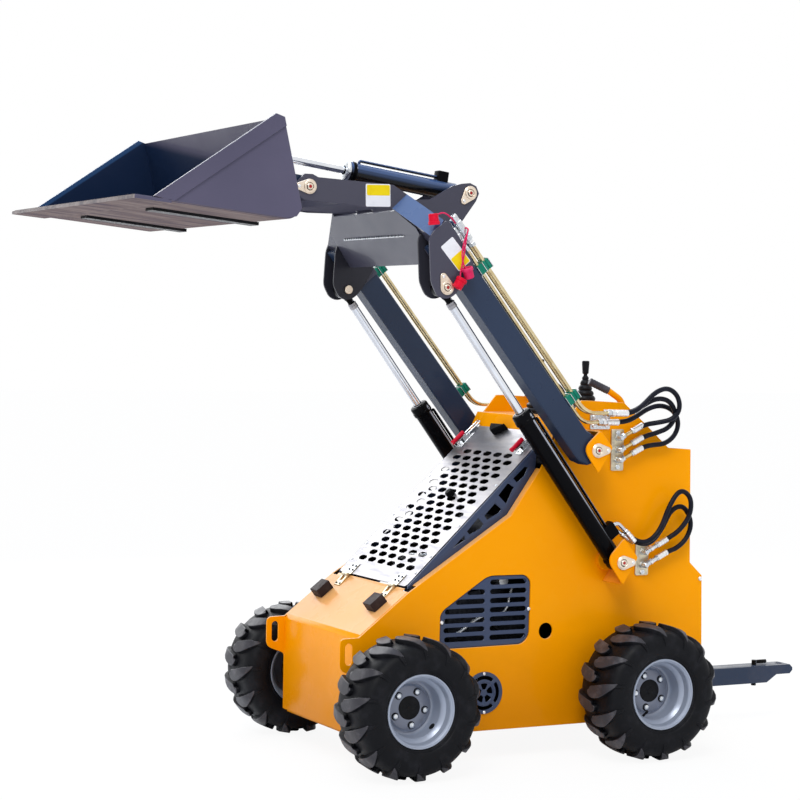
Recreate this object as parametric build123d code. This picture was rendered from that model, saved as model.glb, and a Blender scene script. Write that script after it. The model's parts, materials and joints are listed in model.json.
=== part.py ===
from build123d import *
import math
import os

# Compact wheeled skid steer loader with lift arms and a bucket, in millimetres.
# The machine faces -Y, its left side is +X, and Z is up from the ground.
# Every size below is stated with y = 0 half way between the axles; the whole machine is
# then moved by SHIFT_Y, so that its box from the bucket lip to the drawbar is centred.

# ground and wheels
TYRE_R = 228.5
TYRE_HALF_W = 108.0
TYRE_BORE_R = 103.0
AXLE_Y = 453.5
RIM_FLANGE_R = 118.5
RIM_HALF_W = 95.0
RIM_DISC_X = 0.0
RIM_DISC_T = 6.0
HUB_R = 30.0
HUB_BACK = 50.0
HUB_CAP_R = 34.0
SHAFT_R = 20.0
RUN_FIT = 0.05
BOLT_CIRCLE_R = 56.0
WHEEL_BOLTS = 5

# body
BODY_HALF_W = 292.0
PLATE_T = 8.0
WHEEL_X = BODY_HALF_W + TYRE_HALF_W + 47.0
MOTOR_END_X = WHEEL_X - 55.0
SIDE_IN = BODY_HALF_W - PLATE_T
NOSE_Y = -553.0
NOSE_TOP = (-552.0, 435.0)
DECK_TOP = (-376.0, 571.0)
BELLY_Z = 102.0
BACK_Y = 780.0
SIDE_PROFILE = [
    (NOSE_Y, 114.0), (NOSE_Y, 433.0), (DECK_TOP[0], DECK_TOP[1]), (4.0, 814.0), (113.0, 967.0),
    (175.0, 1083.0), (268.0, 1195.0), (297.0, 1195.0), (438.0, 1188.0), (522.0, 1119.0),
    (623.0, 1033.0), (716.0, 1027.0), (723.0, 634.0), (774.0, 587.0), (BACK_Y, 339.0),
    (BACK_Y, BELLY_Z), (-530.0, BELLY_Z),
]
VENT_PROFILE = [
    (-80.0, 616.0), (61.0, 615.0), (83.0, 594.0), (81.0, 409.0), (54.0, 383.0),
    (-201.0, 381.0), (-259.0, 425.0), (-258.0, 493.0), (-245.0, 510.0),
]
SIDE_HOLE = (145.0, 423.0, 27.0)
GRILLE_AT = (-90.0, 228.0)
GRILLE_R = 70.0
EAR_FRONT = -620.0
EAR_Z = (330.0, 432.0)
EAR_SLOT = (-600.0, -582.0, 348.0, 414.0)
CONSOLE_Z = 1135.0
CONSOLE_Y = (190.0, 460.0)

# lift arms
ARM_PIVOT = (262.0, 1033.0)
ARM_X = (BODY_HALF_W + 38.0, BODY_HALF_W + 103.0)
ARM_PIN_R = 15.0
ARM_BEND = (210.0, 1050.0)
ARM_ANGLE = 129.2
ARM_HALF_D = 43.0
ARM_TOP_Z = 1736.0
HEAD_PROFILE = [
    (-317.0, 1776.0), (-384.0, 1726.0), (-374.0, 1575.0), (-352.0, 1533.0), (-322.0, 1521.0),
    (-292.0, 1531.0), (-262.0, 1562.0), (-216.0, 1636.0), (-279.0, 1728.0),
]
HEAD_OUT_X = (ARM_X[1] + 0.3, ARM_X[1] + 8.3)
HEAD_IN_X = (ARM_X[0] - 13.0, ARM_X[0] - 5.0)
LIFT_X = (HEAD_IN_X[1] + HEAD_OUT_X[0]) / 2 - 0.15
LIFT_BASE = (370.0, 656.0)
LIFT_TOP = (-317.0, 1559.0)
BARREL_R = 31.0
BARREL_LEN = 629.0
LIFT_ROD_R = 14.0
EYE_R = 29.0
EYE_HALF_W = 16.5

# bracket plates on the tower sides, outside the arms and cylinders
BRACKET_X = (ARM_X[1] + 6.0, ARM_X[1] + 14.0)
ARM_BRACKET = [(271.0, 1099.0), (207.0, 1040.0), (266.0, 957.0), (321.0, 1043.0)]
LIFT_BRACKET = [(374.0, 737.0), (309.0, 668.0), (372.0, 581.0), (430.0, 672.0)]

# boom, tilt cylinder and bucket
BOOM_X = (215.0, 225.0)
BUCKET_PIN = (-723.0, 1871.0)
BOOM_PROFILE = [
    (-739.0, 1829.0), (-765.0, 1850.0), (-768.0, 1882.0), (-740.0, 1911.0), (-712.0, 1911.0),
    (-692.0, 1902.0), (-424.0, 1890.0), (-374.0, 1862.0), (-322.0, 1815.0), (-434.0, 1815.0),
    (-523.0, 1814.0), (-593.0, 1821.0),
]
DECK_FOLD = (-375.0, 1729.0)
DECK_LOW = (-310.0, 1636.0)
TILT_LUG = (-50.0, 1888.0)
TILT_TOP = (-770.0, 1984.0)
TILT_BARREL_LEN = 446.0
TILT_EYE_HALF_W = 46.0
LUG_X = (54.0, 64.0)
LUG_PROFILE = [
    (-84.0, 1918.0), (-50.0, 1922.0), (-26.0, 1912.0), (-15.0, 1888.0), (-26.0, 1862.0),
    (-78.0, 1792.0), (-190.0, 1736.0), (-362.0, 1722.0), (-420.0, 1822.0), (-380.0, 1850.0),
    (-201.0, 1860.0), (-118.0, 1909.0),
]
EAR_X = (196.0, 208.0)
YOKE_X = (22.0, 32.0)
TILT_ROD_R = 12.5
BUCKET_HALF_W = 588.0
BUCKET_T = 8.0
BUCKET_BAND_T = 5.0
BUCKET_BAND = [
    (-1330.0, 1783.0), (-1264.0, 1776.7), (-971.0, 2020.0), (-967.7, 2020.0), (-974.0, 2047.0), (-1002.0, 2056.0),
]
LIP_Y = -1444.0
BUCKET_SHELL = [
    (-1440.0, 1791.0), (-1130.0, 1762.0), (-960.0, 1746.0), (-926.0, 1752.0), (-908.0, 1776.0),
    (-972.0, 2049.0),
]
BUCKET_SIDE = [
    (-1330.0, 1783.0), (-1130.0, 1764.0), (-960.0, 1748.0), (-928.0, 1754.0), (-911.0, 1778.0),
    (-974.0, 2047.0), (-1002.0, 2056.0),
]

# hood
HOOD_HINGE = (-379.0, 583.0)
HOOD_FOOT = (-366.0, 586.0)
HOOD_HEAD = (162.0, 1087.0)
HOOD_HALF_W = BODY_HALF_W - 44.0
HOOD_SIDE_X = (BODY_HALF_W - 41.0, BODY_HALF_W - 35.0)
LEDGE_IN = BODY_HALF_W - 33.0
HOOD_SIDE = [
    (-362.0, 578.0), (0.0, 806.0), (112.0, 956.0), (116.0, 1024.0),
]
HOOD_CUTS = [
    [(-154.0, 749.0), (-198.0, 706.0), (-150.0, 733.0)],
    [(-103.0, 805.0), (-145.0, 761.0), (-134.0, 750.0), (-89.0, 771.0), (-82.0, 784.0)],
    [(-40.0, 852.0), (-80.0, 812.0), (-69.0, 797.0), (-26.0, 818.0), (-14.0, 831.0)],
    [(7.0, 918.0), (-28.0, 878.0), (4.0, 848.0), (32.0, 904.0)],
    [(71.0, 972.0), (28.0, 934.0), (43.0, 919.0), (71.0, 941.0), (86.0, 970.0)],
]
HOLE_ROWS = 18
HOLE_ROW_AT = 75.7
HOLE_ROW_STEP = 31.1
HOLE_STEP = 70.4
HOLE_SIZE = (48.0, 16.0)

# drawbar
TAIL_Y = 1372.0
SHIFT_Y = -(LIP_Y + TAIL_Y) / 2

LIFT_DIR = (LIFT_TOP[0] - LIFT_BASE[0], LIFT_TOP[1] - LIFT_BASE[1])
LIFT_LEN = math.hypot(*LIFT_DIR)
LIFT_U = (LIFT_DIR[0] / LIFT_LEN, LIFT_DIR[1] / LIFT_LEN)
TILT_DIR = (TILT_TOP[0] - TILT_LUG[0], TILT_TOP[1] - TILT_LUG[1])
TILT_LEN = math.hypot(*TILT_DIR)
TILT_U = (TILT_DIR[0] / TILT_LEN, TILT_DIR[1] / TILT_LEN)
ARM_U = (math.cos(math.radians(ARM_ANGLE)), math.sin(math.radians(ARM_ANGLE)))
ARM_N = (ARM_U[1], -ARM_U[0])
SIDES = (1, -1)
LEDGE_LEN = math.hypot(SIDE_PROFILE[3][0] - DECK_TOP[0], SIDE_PROFILE[3][1] - DECK_TOP[1])
LEDGE_U = ((SIDE_PROFILE[3][0] - DECK_TOP[0]) / LEDGE_LEN, (SIDE_PROFILE[3][1] - DECK_TOP[1]) / LEDGE_LEN)

nodes = {}


def yz(points, x0, x1, holes=()):
    """A flat plate: a closed outline in the Y-Z plane, from x0 to x1, with round holes."""
    lo, hi = min(x0, x1), max(x0, x1)
    face = make_face(Polyline(*points, close=True))
    for y, z, r in holes:
        face -= Pos(y, z) * Circle(r)
    return extrude(Plane.YZ.offset(lo) * face, amount=hi - lo)


def sided(points, x0, x1, side, holes=()):
    """The same plate on the left (side 1) or mirrored to the right (side -1)."""
    return yz(points, side * x0, side * x1, holes)


def box(x0, x1, y0, y1, z0, z1):
    """A box between two corners."""
    size = Box(abs(x1 - x0), y1 - y0, z1 - z0)
    return Pos((x0 + x1) / 2, (y0 + y1) / 2, (z0 + z1) / 2) * size


def disc_x(y, z, x0, x1, r):
    """A cylinder along X."""
    lo, hi = min(x0, x1), max(x0, x1)
    return extrude(Plane.YZ.offset(lo) * Pos(y, z) * Circle(r), amount=hi - lo)


def rod(p, q, r):
    """A cylinder from p to q."""
    a = Vector(*p)
    b = Vector(*q)
    return extrude(Plane(origin=a, z_dir=b - a) * Circle(r), amount=(b - a).length)


def along(base, u, s, n=0.0):
    """The point s along direction u from base in the Y-Z plane, and n to its left-hand side."""
    return (base[0] + u[0] * s - u[1] * n, base[1] + u[1] * s + u[0] * n)


def strip(points, t, x0, x1):
    """A bent sheet of thickness t: the outline of an open Y-Z path, offset to its left."""
    inner = []
    for i, (y, z) in enumerate(points):
        before = points[max(i - 1, 0)]
        after = points[min(i + 1, len(points) - 1)]
        d1 = (y - before[0], z - before[1])
        d2 = (after[0] - y, after[1] - z)
        if i == 0:
            d1 = d2
        if i == len(points) - 1:
            d2 = d1
        l1 = math.hypot(*d1)
        l2 = math.hypot(*d2)
        n1 = (-d1[1] / l1, d1[0] / l1)
        n2 = (-d2[1] / l2, d2[0] / l2)
        m = (n1[0] + n2[0], n1[1] + n2[1])
        k = t * 2 / (m[0] ** 2 + m[1] ** 2)
        inner.append((y + m[0] * k, z + m[1] * k))
    return yz(list(points) + inner[::-1], x0, x1)


def pipe(points, radii, r):
    """A bent pipe of radius r: straight runs through the points, joined by tangent arcs."""
    path = FilletPolyline(*points, radius=radii)
    start = Plane(origin=path @ 0, z_dir=path % 0)
    return sweep(start * Circle(r), path=path)


def hose(name, points, r):
    """A hose: each arc takes 0.45 of the shorter run over the tangent of half the turn."""
    pts = [Vector(*p) for p in points]
    radii = []
    for a, b, c in zip(pts, pts[1:], pts[2:]):
        turn = (b - a).get_angle(c - b)
        short = min((b - a).length, (c - b).length)
        radii.append(0.45 * short / math.tan(math.radians(turn / 2)))
    path = FilletPolyline(*points, radius=radii)
    solid = sweep(Plane(origin=path @ 0, z_dir=path % 0) * Circle(r), path=path)
    ratio = solid.volume / (math.pi * r * r * path.length)
    print(name, "length", round(path.length), "radii", [round(v) for v in radii], "fill", round(ratio, 4))
    return solid


def wheel(x, y, side):
    """The tyre and the dished rim of one wheel, turned about an axis along X."""
    w = TYRE_HALF_W
    tyre_half = [
        (w - 8, TYRE_BORE_R + 16), (w, 150.0), (w, 196.0), (w - 14, 220.0), (w - 40, TYRE_R),
    ]
    outline = [(-a, b) for a, b in tyre_half] + [(a, b) for a, b in reversed(tyre_half)]
    bead = RIM_HALF_W - 8.3
    outline += [(bead, RIM_FLANGE_R + 0.5), (bead, TYRE_BORE_R), (-bead, TYRE_BORE_R)]
    outline += [(-bead, RIM_FLANGE_R + 0.5)]
    tyre = revolve(make_face(Polyline(*outline, close=True)), axis=Axis.X)
    d = RIM_DISC_X
    wall = TYRE_BORE_R - 0.3
    rim_outline = [
        (-RIM_HALF_W, RIM_FLANGE_R), (-RIM_HALF_W + 8, RIM_FLANGE_R), (-RIM_HALF_W + 8, wall),
        (RIM_HALF_W - 8, wall), (RIM_HALF_W - 8, RIM_FLANGE_R), (RIM_HALF_W, RIM_FLANGE_R),
        (RIM_HALF_W - 6, wall - 4), (RIM_HALF_W - 34, wall - 5), (RIM_HALF_W - 44, wall - 12),
        (d + 10, wall - 13), (d + RIM_DISC_T, wall - 32), (d + RIM_DISC_T, HUB_CAP_R),
        (d + RIM_DISC_T + 6, HUB_CAP_R), (d + RIM_DISC_T + 6, 0.0), (d + RIM_DISC_T, 0.0),
        (d + RIM_DISC_T, SHAFT_R + RUN_FIT), (d - HUB_BACK, SHAFT_R + RUN_FIT), (d - HUB_BACK, HUB_R),
        (d, HUB_R), (d, wall - 9), (-RIM_HALF_W + 3, wall - 5),
    ]
    rim = revolve(make_face(Polyline(*rim_outline, close=True)), axis=Axis.X)
    for i in range(WHEEL_BOLTS):
        a = math.radians(62 + i * 360 / WHEEL_BOLTS)
        at = (BOLT_CIRCLE_R * math.cos(a), BOLT_CIRCLE_R * math.sin(a))
        rim += disc_x(at[0], at[1], d + 1, d + RIM_DISC_T + 11, 9.0)
    place = Pos(x, y, TYRE_R)
    if side < 0:
        place = place * Rot(0, 0, 180)
    return place * tyre, place * rim


# wheels
for end, wheel_y in (("front", -AXLE_Y), ("rear", AXLE_Y)):
    for label, side in (("left", 1), ("right", -1)):
        tyre, rim = wheel(side * WHEEL_X, wheel_y, side)
        nodes["tyre_" + end + "_" + label] = tyre
        nodes["rim_" + end + "_" + label] = rim

# axle motors and shafts, carried by the side plates
stubs = []
for wheel_y in (-AXLE_Y, AXLE_Y):
    for side in SIDES:
        stub = disc_x(wheel_y, TYRE_R, side * BODY_HALF_W, side * MOTOR_END_X, 62.0)
        shaft_end = WHEEL_X + RIM_DISC_X + RIM_DISC_T - 0.5
        stub += disc_x(wheel_y, TYRE_R, side * MOTOR_END_X, side * shaft_end, SHAFT_R)
        seat = WHEEL_X + RIM_DISC_X - HUB_BACK - 0.3
        stub += disc_x(wheel_y, TYRE_R, side * (MOTOR_END_X - 1), side * seat, 34.0)
        stubs.append(stub)
nodes["axle_motors"] = Compound(stubs)

# side plates, with the tie-down ears standing forward of the nose
ear = [
    (NOSE_Y - 1, EAR_Z[0] - 26), (EAR_FRONT + 14, EAR_Z[0]), (EAR_FRONT, EAR_Z[0] + 14),
    (EAR_FRONT, EAR_Z[1] - 14), (EAR_FRONT + 14, EAR_Z[1]), (NOSE_Y + 1, EAR_Z[1]), (NOSE_Y + 1, EAR_Z[0] - 26),
]
for label, side in (("left", 1), ("right", -1)):
    plate = sided(SIDE_PROFILE, SIDE_IN, BODY_HALF_W, side, [SIDE_HOLE])
    plate += sided(ear, SIDE_IN, BODY_HALF_W, side)
    plate -= sided(VENT_PROFILE, SIDE_IN - 1, BODY_HALF_W + 1, side)
    plate -= disc_x(GRILLE_AT[0], GRILLE_AT[1], side * (SIDE_IN - 1), side * (BODY_HALF_W + 1), GRILLE_R - 8)
    y0, y1, z0, z1 = EAR_SLOT
    plate -= box(side * (SIDE_IN - 1), side * (BODY_HALF_W + 1), y0, y1, z0, z1)
    for y, z, r in ((ARM_PIVOT[0], ARM_PIVOT[1], ARM_PIN_R), (LIFT_BASE[0], LIFT_BASE[1], ARM_PIN_R)):
        plate -= disc_x(y, z, side * (SIDE_IN - 1), side * (BODY_HALF_W + 1), r)
    start = along(DECK_TOP, LEDGE_U, 36.0)
    plate += strip([start, SIDE_PROFILE[3], SIDE_PROFILE[4]], -4.0, side * LEDGE_IN, side * (SIDE_IN + 1))
    nodes["side_plate_" + label] = plate

# nose: front plate, sloped deck up to the hood hinge
nodes["nose_sheet"] = strip(
    [(NOSE_Y, 112.0), (NOSE_Y, 425.0), (NOSE_Y + 8, 441.0), (DECK_TOP[0], DECK_TOP[1] + 2.0),
     (DECK_TOP[0] + 22.0, DECK_TOP[1] - 14.0)], -5.0, -SIDE_IN, SIDE_IN)

# belly pan and bent back plate
nodes["belly_pan"] = box(-SIDE_IN, SIDE_IN, -540.0, BACK_Y, BELLY_Z, BELLY_Z + 6.0)
nodes["back_plate"] = strip(
    [(BACK_Y, BELLY_Z + 6.0), (BACK_Y, 339.0), (774.0, 587.0), (723.0, 634.0), (716.0, 1022.0),
     (640.0, 1027.0)], 5.0, -SIDE_IN, SIDE_IN)

# console between the tower sides: sloped front, flat top, sloped control face at the back
nodes["console"] = strip(
    [(640.0, 1027.5 - 6.0), (CONSOLE_Y[1] + 40.0, CONSOLE_Z - 6.0), (CONSOLE_Y[1], CONSOLE_Z),
     (CONSOLE_Y[0], CONSOLE_Z), (140.0, 1030.0), (140.0, 980.0)], 5.0, -SIDE_IN, SIDE_IN)

# engine block seen through the vents, standing on the belly pan
engine = box(-150.0, 150.0, -150.0, 330.0, BELLY_Z + 6.0, 560.0)
engine += box(-100.0, 100.0, -40.0, 250.0, 560.0, 660.0)
nodes["engine_block"] = engine

# vent panels with two columns of slots, and round perforated covers, set into the side plates
VENT_SLOTS = []
for row in range(7):
    z = 401.0 + row * 30.5
    VENT_SLOTS.append((-70.0, 68.0, z, z + 18.0))
for row in range(6):
    z = 401.0 + row * 30.5
    shift = max(0.0, row - 2) * 27.0
    first = -245.0 + (18.0 if row == 0 else 0.0) + shift
    VENT_SLOTS.append((first, -90.0, z, z + 18.0))
grilles = []
for side in SIDES:
    inset = [(y * 0.985 - 1.3, z * 0.985 + 7.4) for y, z in VENT_PROFILE]
    panel = sided(inset, SIDE_IN + 2.0, SIDE_IN + 5.0, side)
    rim = sided([(y * 1.06 + 5.3, z * 1.06 - 29.5) for y, z in VENT_PROFILE], SIDE_IN - 3.0, SIDE_IN, side)
    panel += sided(inset, SIDE_IN - 3.0, SIDE_IN + 2.0, side) + rim
    for y0, y1, z0, z1 in VENT_SLOTS:
        panel -= box(side * (SIDE_IN - 9.0), side * (SIDE_IN + 9.0), y0, y1, z0, z1)
    grilles.append(panel)
    cover = disc_x(GRILLE_AT[0], GRILLE_AT[1], side * BODY_HALF_W, side * (BODY_HALF_W + 3.0), GRILLE_R)
    for i in range(10):
        a = math.radians(i * 36.0)
        u = (math.cos(a), math.sin(a))
        v = (-u[1], u[0])
        quad = []
        for s, n in ((24.0, -3.0), (54.0, -9.0), (54.0, 9.0), (24.0, 3.0)):
            quad.append((GRILLE_AT[0] + u[0] * s + v[0] * n, GRILLE_AT[1] + u[1] * s + v[1] * n))
        cover -= sided(quad, BODY_HALF_W - 1, BODY_HALF_W + 4, side)
    grilles.append(cover)
nodes["side_grilles"] = Compound(grilles)

# outer bracket plates of the arm pivots and lift cylinders, each on a bent web and a pin boss
brackets = []
for side in SIDES:
    for outline, pin, edge in ((ARM_BRACKET, ARM_PIVOT, (0, 3)), (LIFT_BRACKET, LIFT_BASE, (3, 2))):
        b = sided(outline, BRACKET_X[0], BRACKET_X[1], side, [(pin[0], pin[1], ARM_PIN_R)])
        p, q = outline[edge[0]], outline[edge[1]]
        length = math.hypot(q[0] - p[0], q[1] - p[1])
        u = ((q[0] - p[0]) / length, (q[1] - p[1]) / length)
        out = (u[1], -u[0])
        if (pin[0] - p[0]) * out[0] + (pin[1] - p[1]) * out[1] > 0:
            out = (-out[0], -out[1])
        web = [p, q, (q[0] - out[0] * 6, q[1] - out[1] * 6), (p[0] - out[0] * 6, p[1] - out[1] * 6)]
        b += sided(web, BODY_HALF_W, BRACKET_X[1], side)
        brackets.append(b)
        boss = disc_x(pin[0], pin[1], side * BODY_HALF_W, side * (BODY_HALF_W + 18.0), 34.0)
        boss -= disc_x(pin[0], pin[1], side * (BODY_HALF_W - 1), side * (BODY_HALF_W + 19.0), ARM_PIN_R)
        brackets.append(boss)
nodes["pivot_brackets"] = Compound(brackets)

# pivot pins with their teardrop keepers
pins = []
for side in SIDES:
    for pin in (ARM_PIVOT, LIFT_BASE):
        p = disc_x(pin[0], pin[1], side * (SIDE_IN - 6.0), side * (BRACKET_X[1] + 8.0), ARM_PIN_R)
        y, z = pin
        tear = [(y - 20, z - 14), (y - 8, z - 24), (y + 8, z - 23), (y + 42, z - 12),
                (y + 48, z), (y + 42, z + 12), (y + 8, z + 23), (y - 8, z + 24), (y - 20, z + 14)]
        p += sided(tear, BRACKET_X[1], BRACKET_X[1] + 5.0, side)
        pins.append(p)
nodes["pivot_pins"] = Compound(pins)

# port plates with their fittings on the tower sides
PORTS = [
    ("upper", (386.0, 436.0, 957.0, 1098.0), (1070.0, 1029.0, 994.0), 410.0),
    ("lower", (493.0, 546.0, 597.0, 710.0), (679.0, 634.0), 520.0),
]
ports = []
for side in SIDES:
    for label, (y0, y1, z0, z1), heights, y in PORTS:
        p = box(side * BODY_HALF_W, side * (BODY_HALF_W + 6.0), y0, y1, z0, z1)
        for z in heights:
            p += disc_x(y, z, side * (BODY_HALF_W + 6), side * (BODY_HALF_W + 34), 13.0)
            tip = (y + 34 * 0.9, z + 34 * 0.436)
            p += rod((side * (BODY_HALF_W + 26), y, z), (side * (BODY_HALF_W + 26), tip[0], tip[1]), 9.0)
        ports.append(p)
nodes["port_plates"] = Compound(ports)

# rubber stops for the lowered arms, on the sloped deck
slope = math.degrees(math.atan2(DECK_TOP[1] - NOSE_TOP[1], DECK_TOP[0] - NOSE_TOP[0]))
deck_mid = (-444.0, 435.0 + (571.0 - 435.0) * (108.0 / 176.0) + 2.4)
bumpers = []
for side in SIDES:
    b = Rot(slope, 0, 0) * (Pos(0, 0, 16.0) * Box(56.0, 56.0, 32.0))
    bumpers.append(Pos(side * 203.0, deck_mid[0], deck_mid[1]) * b)
nodes["arm_stops"] = Compound(bumpers)

# control levers with their bellows, on the console
levers = []
for side in SIDES:
    x, y = side * 150.0, 362.0
    lever = Pos(x, y, CONSOLE_Z) * Cone(42.0, 14.0, 110.0, align=(Align.CENTER, Align.CENTER, Align.MIN))
    lever += rod((x, y, CONSOLE_Z + 60), (x, y, CONSOLE_Z + 150), 6.0)
    lever += rod((x, y, CONSOLE_Z + 148), (x, y, CONSOLE_Z + 192), 13.0)
    levers.append(lever)
nodes["control_levers"] = Compound(levers)

# hand bars beside the levers, with their grips
bars = []
for side in SIDES:
    path = [(side * 250, 446, CONSOLE_Z), (side * 250, 446, CONSOLE_Z + 70), (side * 236, 424, CONSOLE_Z + 108),
            (side * 100, 380, CONSOLE_Z + 141)]
    bars.append(pipe(path, [20.0, 26.0], 11.0))
nodes["hand_bars"] = Compound(bars)

# drawbar and its bent pin
bar = yz([(760.0, 146.0), (1256.0, 146.0), (1300.0, 174.0), (1360.0, 174.0), (TAIL_Y, 186.0), (TAIL_Y, 196.0),
          (1360.0, 208.0), (760.0, 208.0)], -38.0, 38.0)
bar -= Pos(0, 1336.0, 190.0) * Cylinder(14.0, 80.0)
bar -= Pos(0, 1224.0, 180.0) * Cylinder(9.05, 90.0)
bar -= box(-60, 60, 700.0, BACK_Y, 100.0, 230.0)
nodes["drawbar"] = bar
hook = rod((0, 1224.0, 132.0), (0, 1224.0, 226.0), 9.0)
hook += rod((0, 1224.0, 219.0), (0, 1276.0, 219.0), 7.0)
nodes["drawbar_pin"] = hook

# hood: perforated lid plate, side panels and hinge leaves
lid_u = (HOOD_HEAD[0] - HOOD_FOOT[0], HOOD_HEAD[1] - HOOD_FOOT[1])
lid_l = math.hypot(*lid_u)
lid_u = (lid_u[0] / lid_l, lid_u[1] / lid_l)
lid = strip([HOOD_FOOT, HOOD_HEAD], -3.0, -HOOD_HALF_W, HOOD_HALF_W)
spots = []
for row in range(HOLE_ROWS):
    count = 6 - row % 2
    for k in range(count):
        spots.append(((k - (count - 1) / 2) * HOLE_STEP, HOLE_ROW_AT + row * HOLE_ROW_STEP))
face = Plane(origin=(0, HOOD_FOOT[0], HOOD_FOOT[1]), x_dir=(1, 0, 0), z_dir=(0, -lid_u[1], lid_u[0]))
cuts = Sketch() + [Pos(x, y) * SlotOverall(*HOLE_SIZE) for x, y in spots]
lid -= extrude(face.offset(-9.0) * cuts, amount=18.0)
nodes["hood_lid"] = lid
frames = []
for side in SIDES:
    top = [along(HOOD_HEAD, lid_u, -30.0, -3.0), along(HOOD_FOOT, lid_u, 4.0, -3.0)]
    panel = sided(HOOD_SIDE + top, HOOD_SIDE_X[0], HOOD_SIDE_X[1], side)
    for cut in HOOD_CUTS:
        panel -= sided(cut, HOOD_SIDE_X[0] - 1, HOOD_SIDE_X[1] + 1, side)
    frames.append(panel)
rail = strip([along(HOOD_FOOT, lid_u, 8.0, -3.0), along(HOOD_FOOT, lid_u, 48.0, -3.0)], -4.0,
             -HOOD_SIDE_X[0], HOOD_SIDE_X[0])
rail += strip([along(HOOD_HEAD, lid_u, -90.0, -3.0), along(HOOD_HEAD, lid_u, -34.0, -3.0)], -4.0,
              -HOOD_SIDE_X[0], HOOD_SIDE_X[0])
for f in frames:
    rail += f
nodes["hood_frame"] = rail
HINGE_X = 172.0
KNUCKLE_R = 6.0
HINGE_PIN_R = 2.5
deck_u = (math.cos(math.radians(slope)), math.sin(math.radians(slope)))
leaves = []
mounts = []
for side in SIDES:
    x = side * HINGE_X
    y, z = HOOD_HINGE
    leaf = disc_x(y, z, x - 10.0, x + 10.0, KNUCKLE_R)
    foot = along(HOOD_FOOT, lid_u, -4.0)
    leaf += yz([(y, z), foot, along(HOOD_FOOT, lid_u, 42.0), along(HOOD_FOOT, lid_u, 42.0, 3.0),
                along(HOOD_FOOT, lid_u, -4.0, 3.0), (y, z + KNUCKLE_R)], x - 22.0, x + 22.0)
    for a, b in ((x - 23.0, x - 10.0), (x + 10.0, x + 23.0)):
        leaf -= disc_x(y, z, a, b, KNUCKLE_R + 1.0)
    leaf -= disc_x(y, z, x - 11.0, x + 11.0, HINGE_PIN_R + RUN_FIT)
    leaves.append(max(leaf.solids(), key=lambda q: q.volume))
    base = disc_x(y, z, x - 20.0, x - 10.4, KNUCKLE_R) + disc_x(y, z, x + 10.4, x + 20.0, KNUCKLE_R)
    base += disc_x(y, z, x - 20.0, x + 20.0, HINGE_PIN_R)
    flat = along((DECK_TOP[0], DECK_TOP[1] + 2.0), deck_u, -44.0)
    tip = along((DECK_TOP[0], DECK_TOP[1] + 2.0), deck_u, -6.0)
    web = [flat, tip, (y + 3.0, z - 4.5), (y - 4.0, z - 3.5), along(flat, deck_u, 12.0, 3.0),
           along(flat, deck_u, 0.0, 3.0)]
    base += yz(web, x - 20.0, x - 10.4) + yz(web, x + 10.4, x + 20.0)
    base += yz([flat, along(flat, deck_u, 24.0), along(flat, deck_u, 24.0, 3.0), along(flat, deck_u, 0.0, 3.0)],
               x - 20.0, x + 20.0)
    base -= strip([along(flat, deck_u, -60.0), along(flat, deck_u, 60.0)], -20.0, x - 30.0, x + 30.0)
    mounts.append(base)
nodes["hood_hinges"] = Compound(leaves)
nodes["hinge_mounts"] = Compound(mounts)

# lift arms
arms = []
for side in SIDES:
    top = (ARM_BEND[0] + ARM_U[0] * (ARM_TOP_Z - ARM_BEND[1]) / ARM_U[1], ARM_TOP_Z)
    outline = [
        (200.0, 997.0), (232.0, 984.0), (284.0, 1000.0), (298.0, 1033.0), (284.0, 1066.0),
        along(ARM_BEND, ARM_U, 30.0, -ARM_HALF_D), along(top, ARM_U, -34.0, -ARM_HALF_D),
        along(top, ARM_U, 36.0, ARM_HALF_D), along(ARM_BEND, ARM_U, -6.0, ARM_HALF_D),
    ]
    arm = sided(outline, ARM_X[0], ARM_X[1], side, [(ARM_PIVOT[0], ARM_PIVOT[1], ARM_PIN_R + RUN_FIT)])
    arms.append(arm)

# box struts from the boom plates down to the arm heads
STRUT_FACE = [(-427.0, 1814.0), (-374.0, 1862.0), (-330.0, 1813.0), (-383.0, 1765.0)]
STRUT_RUN = (HEAD_OUT_X[0] - BOOM_X[1], 45.0, -88.0)
struts = []
for side in SIDES:
    face = make_face(Polyline(*STRUT_FACE, close=True))
    run = Vector(side * STRUT_RUN[0], STRUT_RUN[1], STRUT_RUN[2])
    strut = extrude(Plane.YZ.offset(side * BOOM_X[1]) * face, amount=run.length, dir=run.normalized())
    struts.append(strut)
nodes["boom_struts"] = Compound(struts)

# head plates each side of the arm tubes, trimmed to the struts
heads = []
for i, side in enumerate(SIDES):
    hole = [(LIFT_TOP[0], LIFT_TOP[1], ARM_PIN_R)]
    heads.append(sided(HEAD_PROFILE, HEAD_OUT_X[0], HEAD_OUT_X[1], side, hole))
    inner = sided(HEAD_PROFILE, HEAD_IN_X[0], HEAD_IN_X[1], side, hole) - struts[i]
    heads.append(max(inner.solids(), key=lambda q: q.volume))
    arms[i] = max((arms[i] - struts[i]).solids(), key=lambda q: q.volume)
    pad = [along(ARM_BEND, ARM_U, 700.0, ARM_HALF_D), along(ARM_BEND, ARM_U, 850.0, ARM_HALF_D),
           along(ARM_BEND, ARM_U, 850.0, -ARM_HALF_D), along(ARM_BEND, ARM_U, 700.0, -ARM_HALF_D)]
    heads.append(sided(pad, HEAD_IN_X[1], ARM_X[0], side) - struts[i])
nodes["arm_tubes"] = Compound(arms)
flat = []
for h in heads:
    flat += list(h.solids())
nodes["arm_heads"] = Compound(flat)

# bent cross plate between the heads, carrying the boom
cross = strip([(-421.0, 1805.0), DECK_FOLD, DECK_LOW], 10.0, -HEAD_IN_X[0], HEAD_IN_X[0])
for strut in struts:
    cross -= strut
nodes["cross_plate"] = max(cross.solids(), key=lambda q: q.volume)

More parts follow.
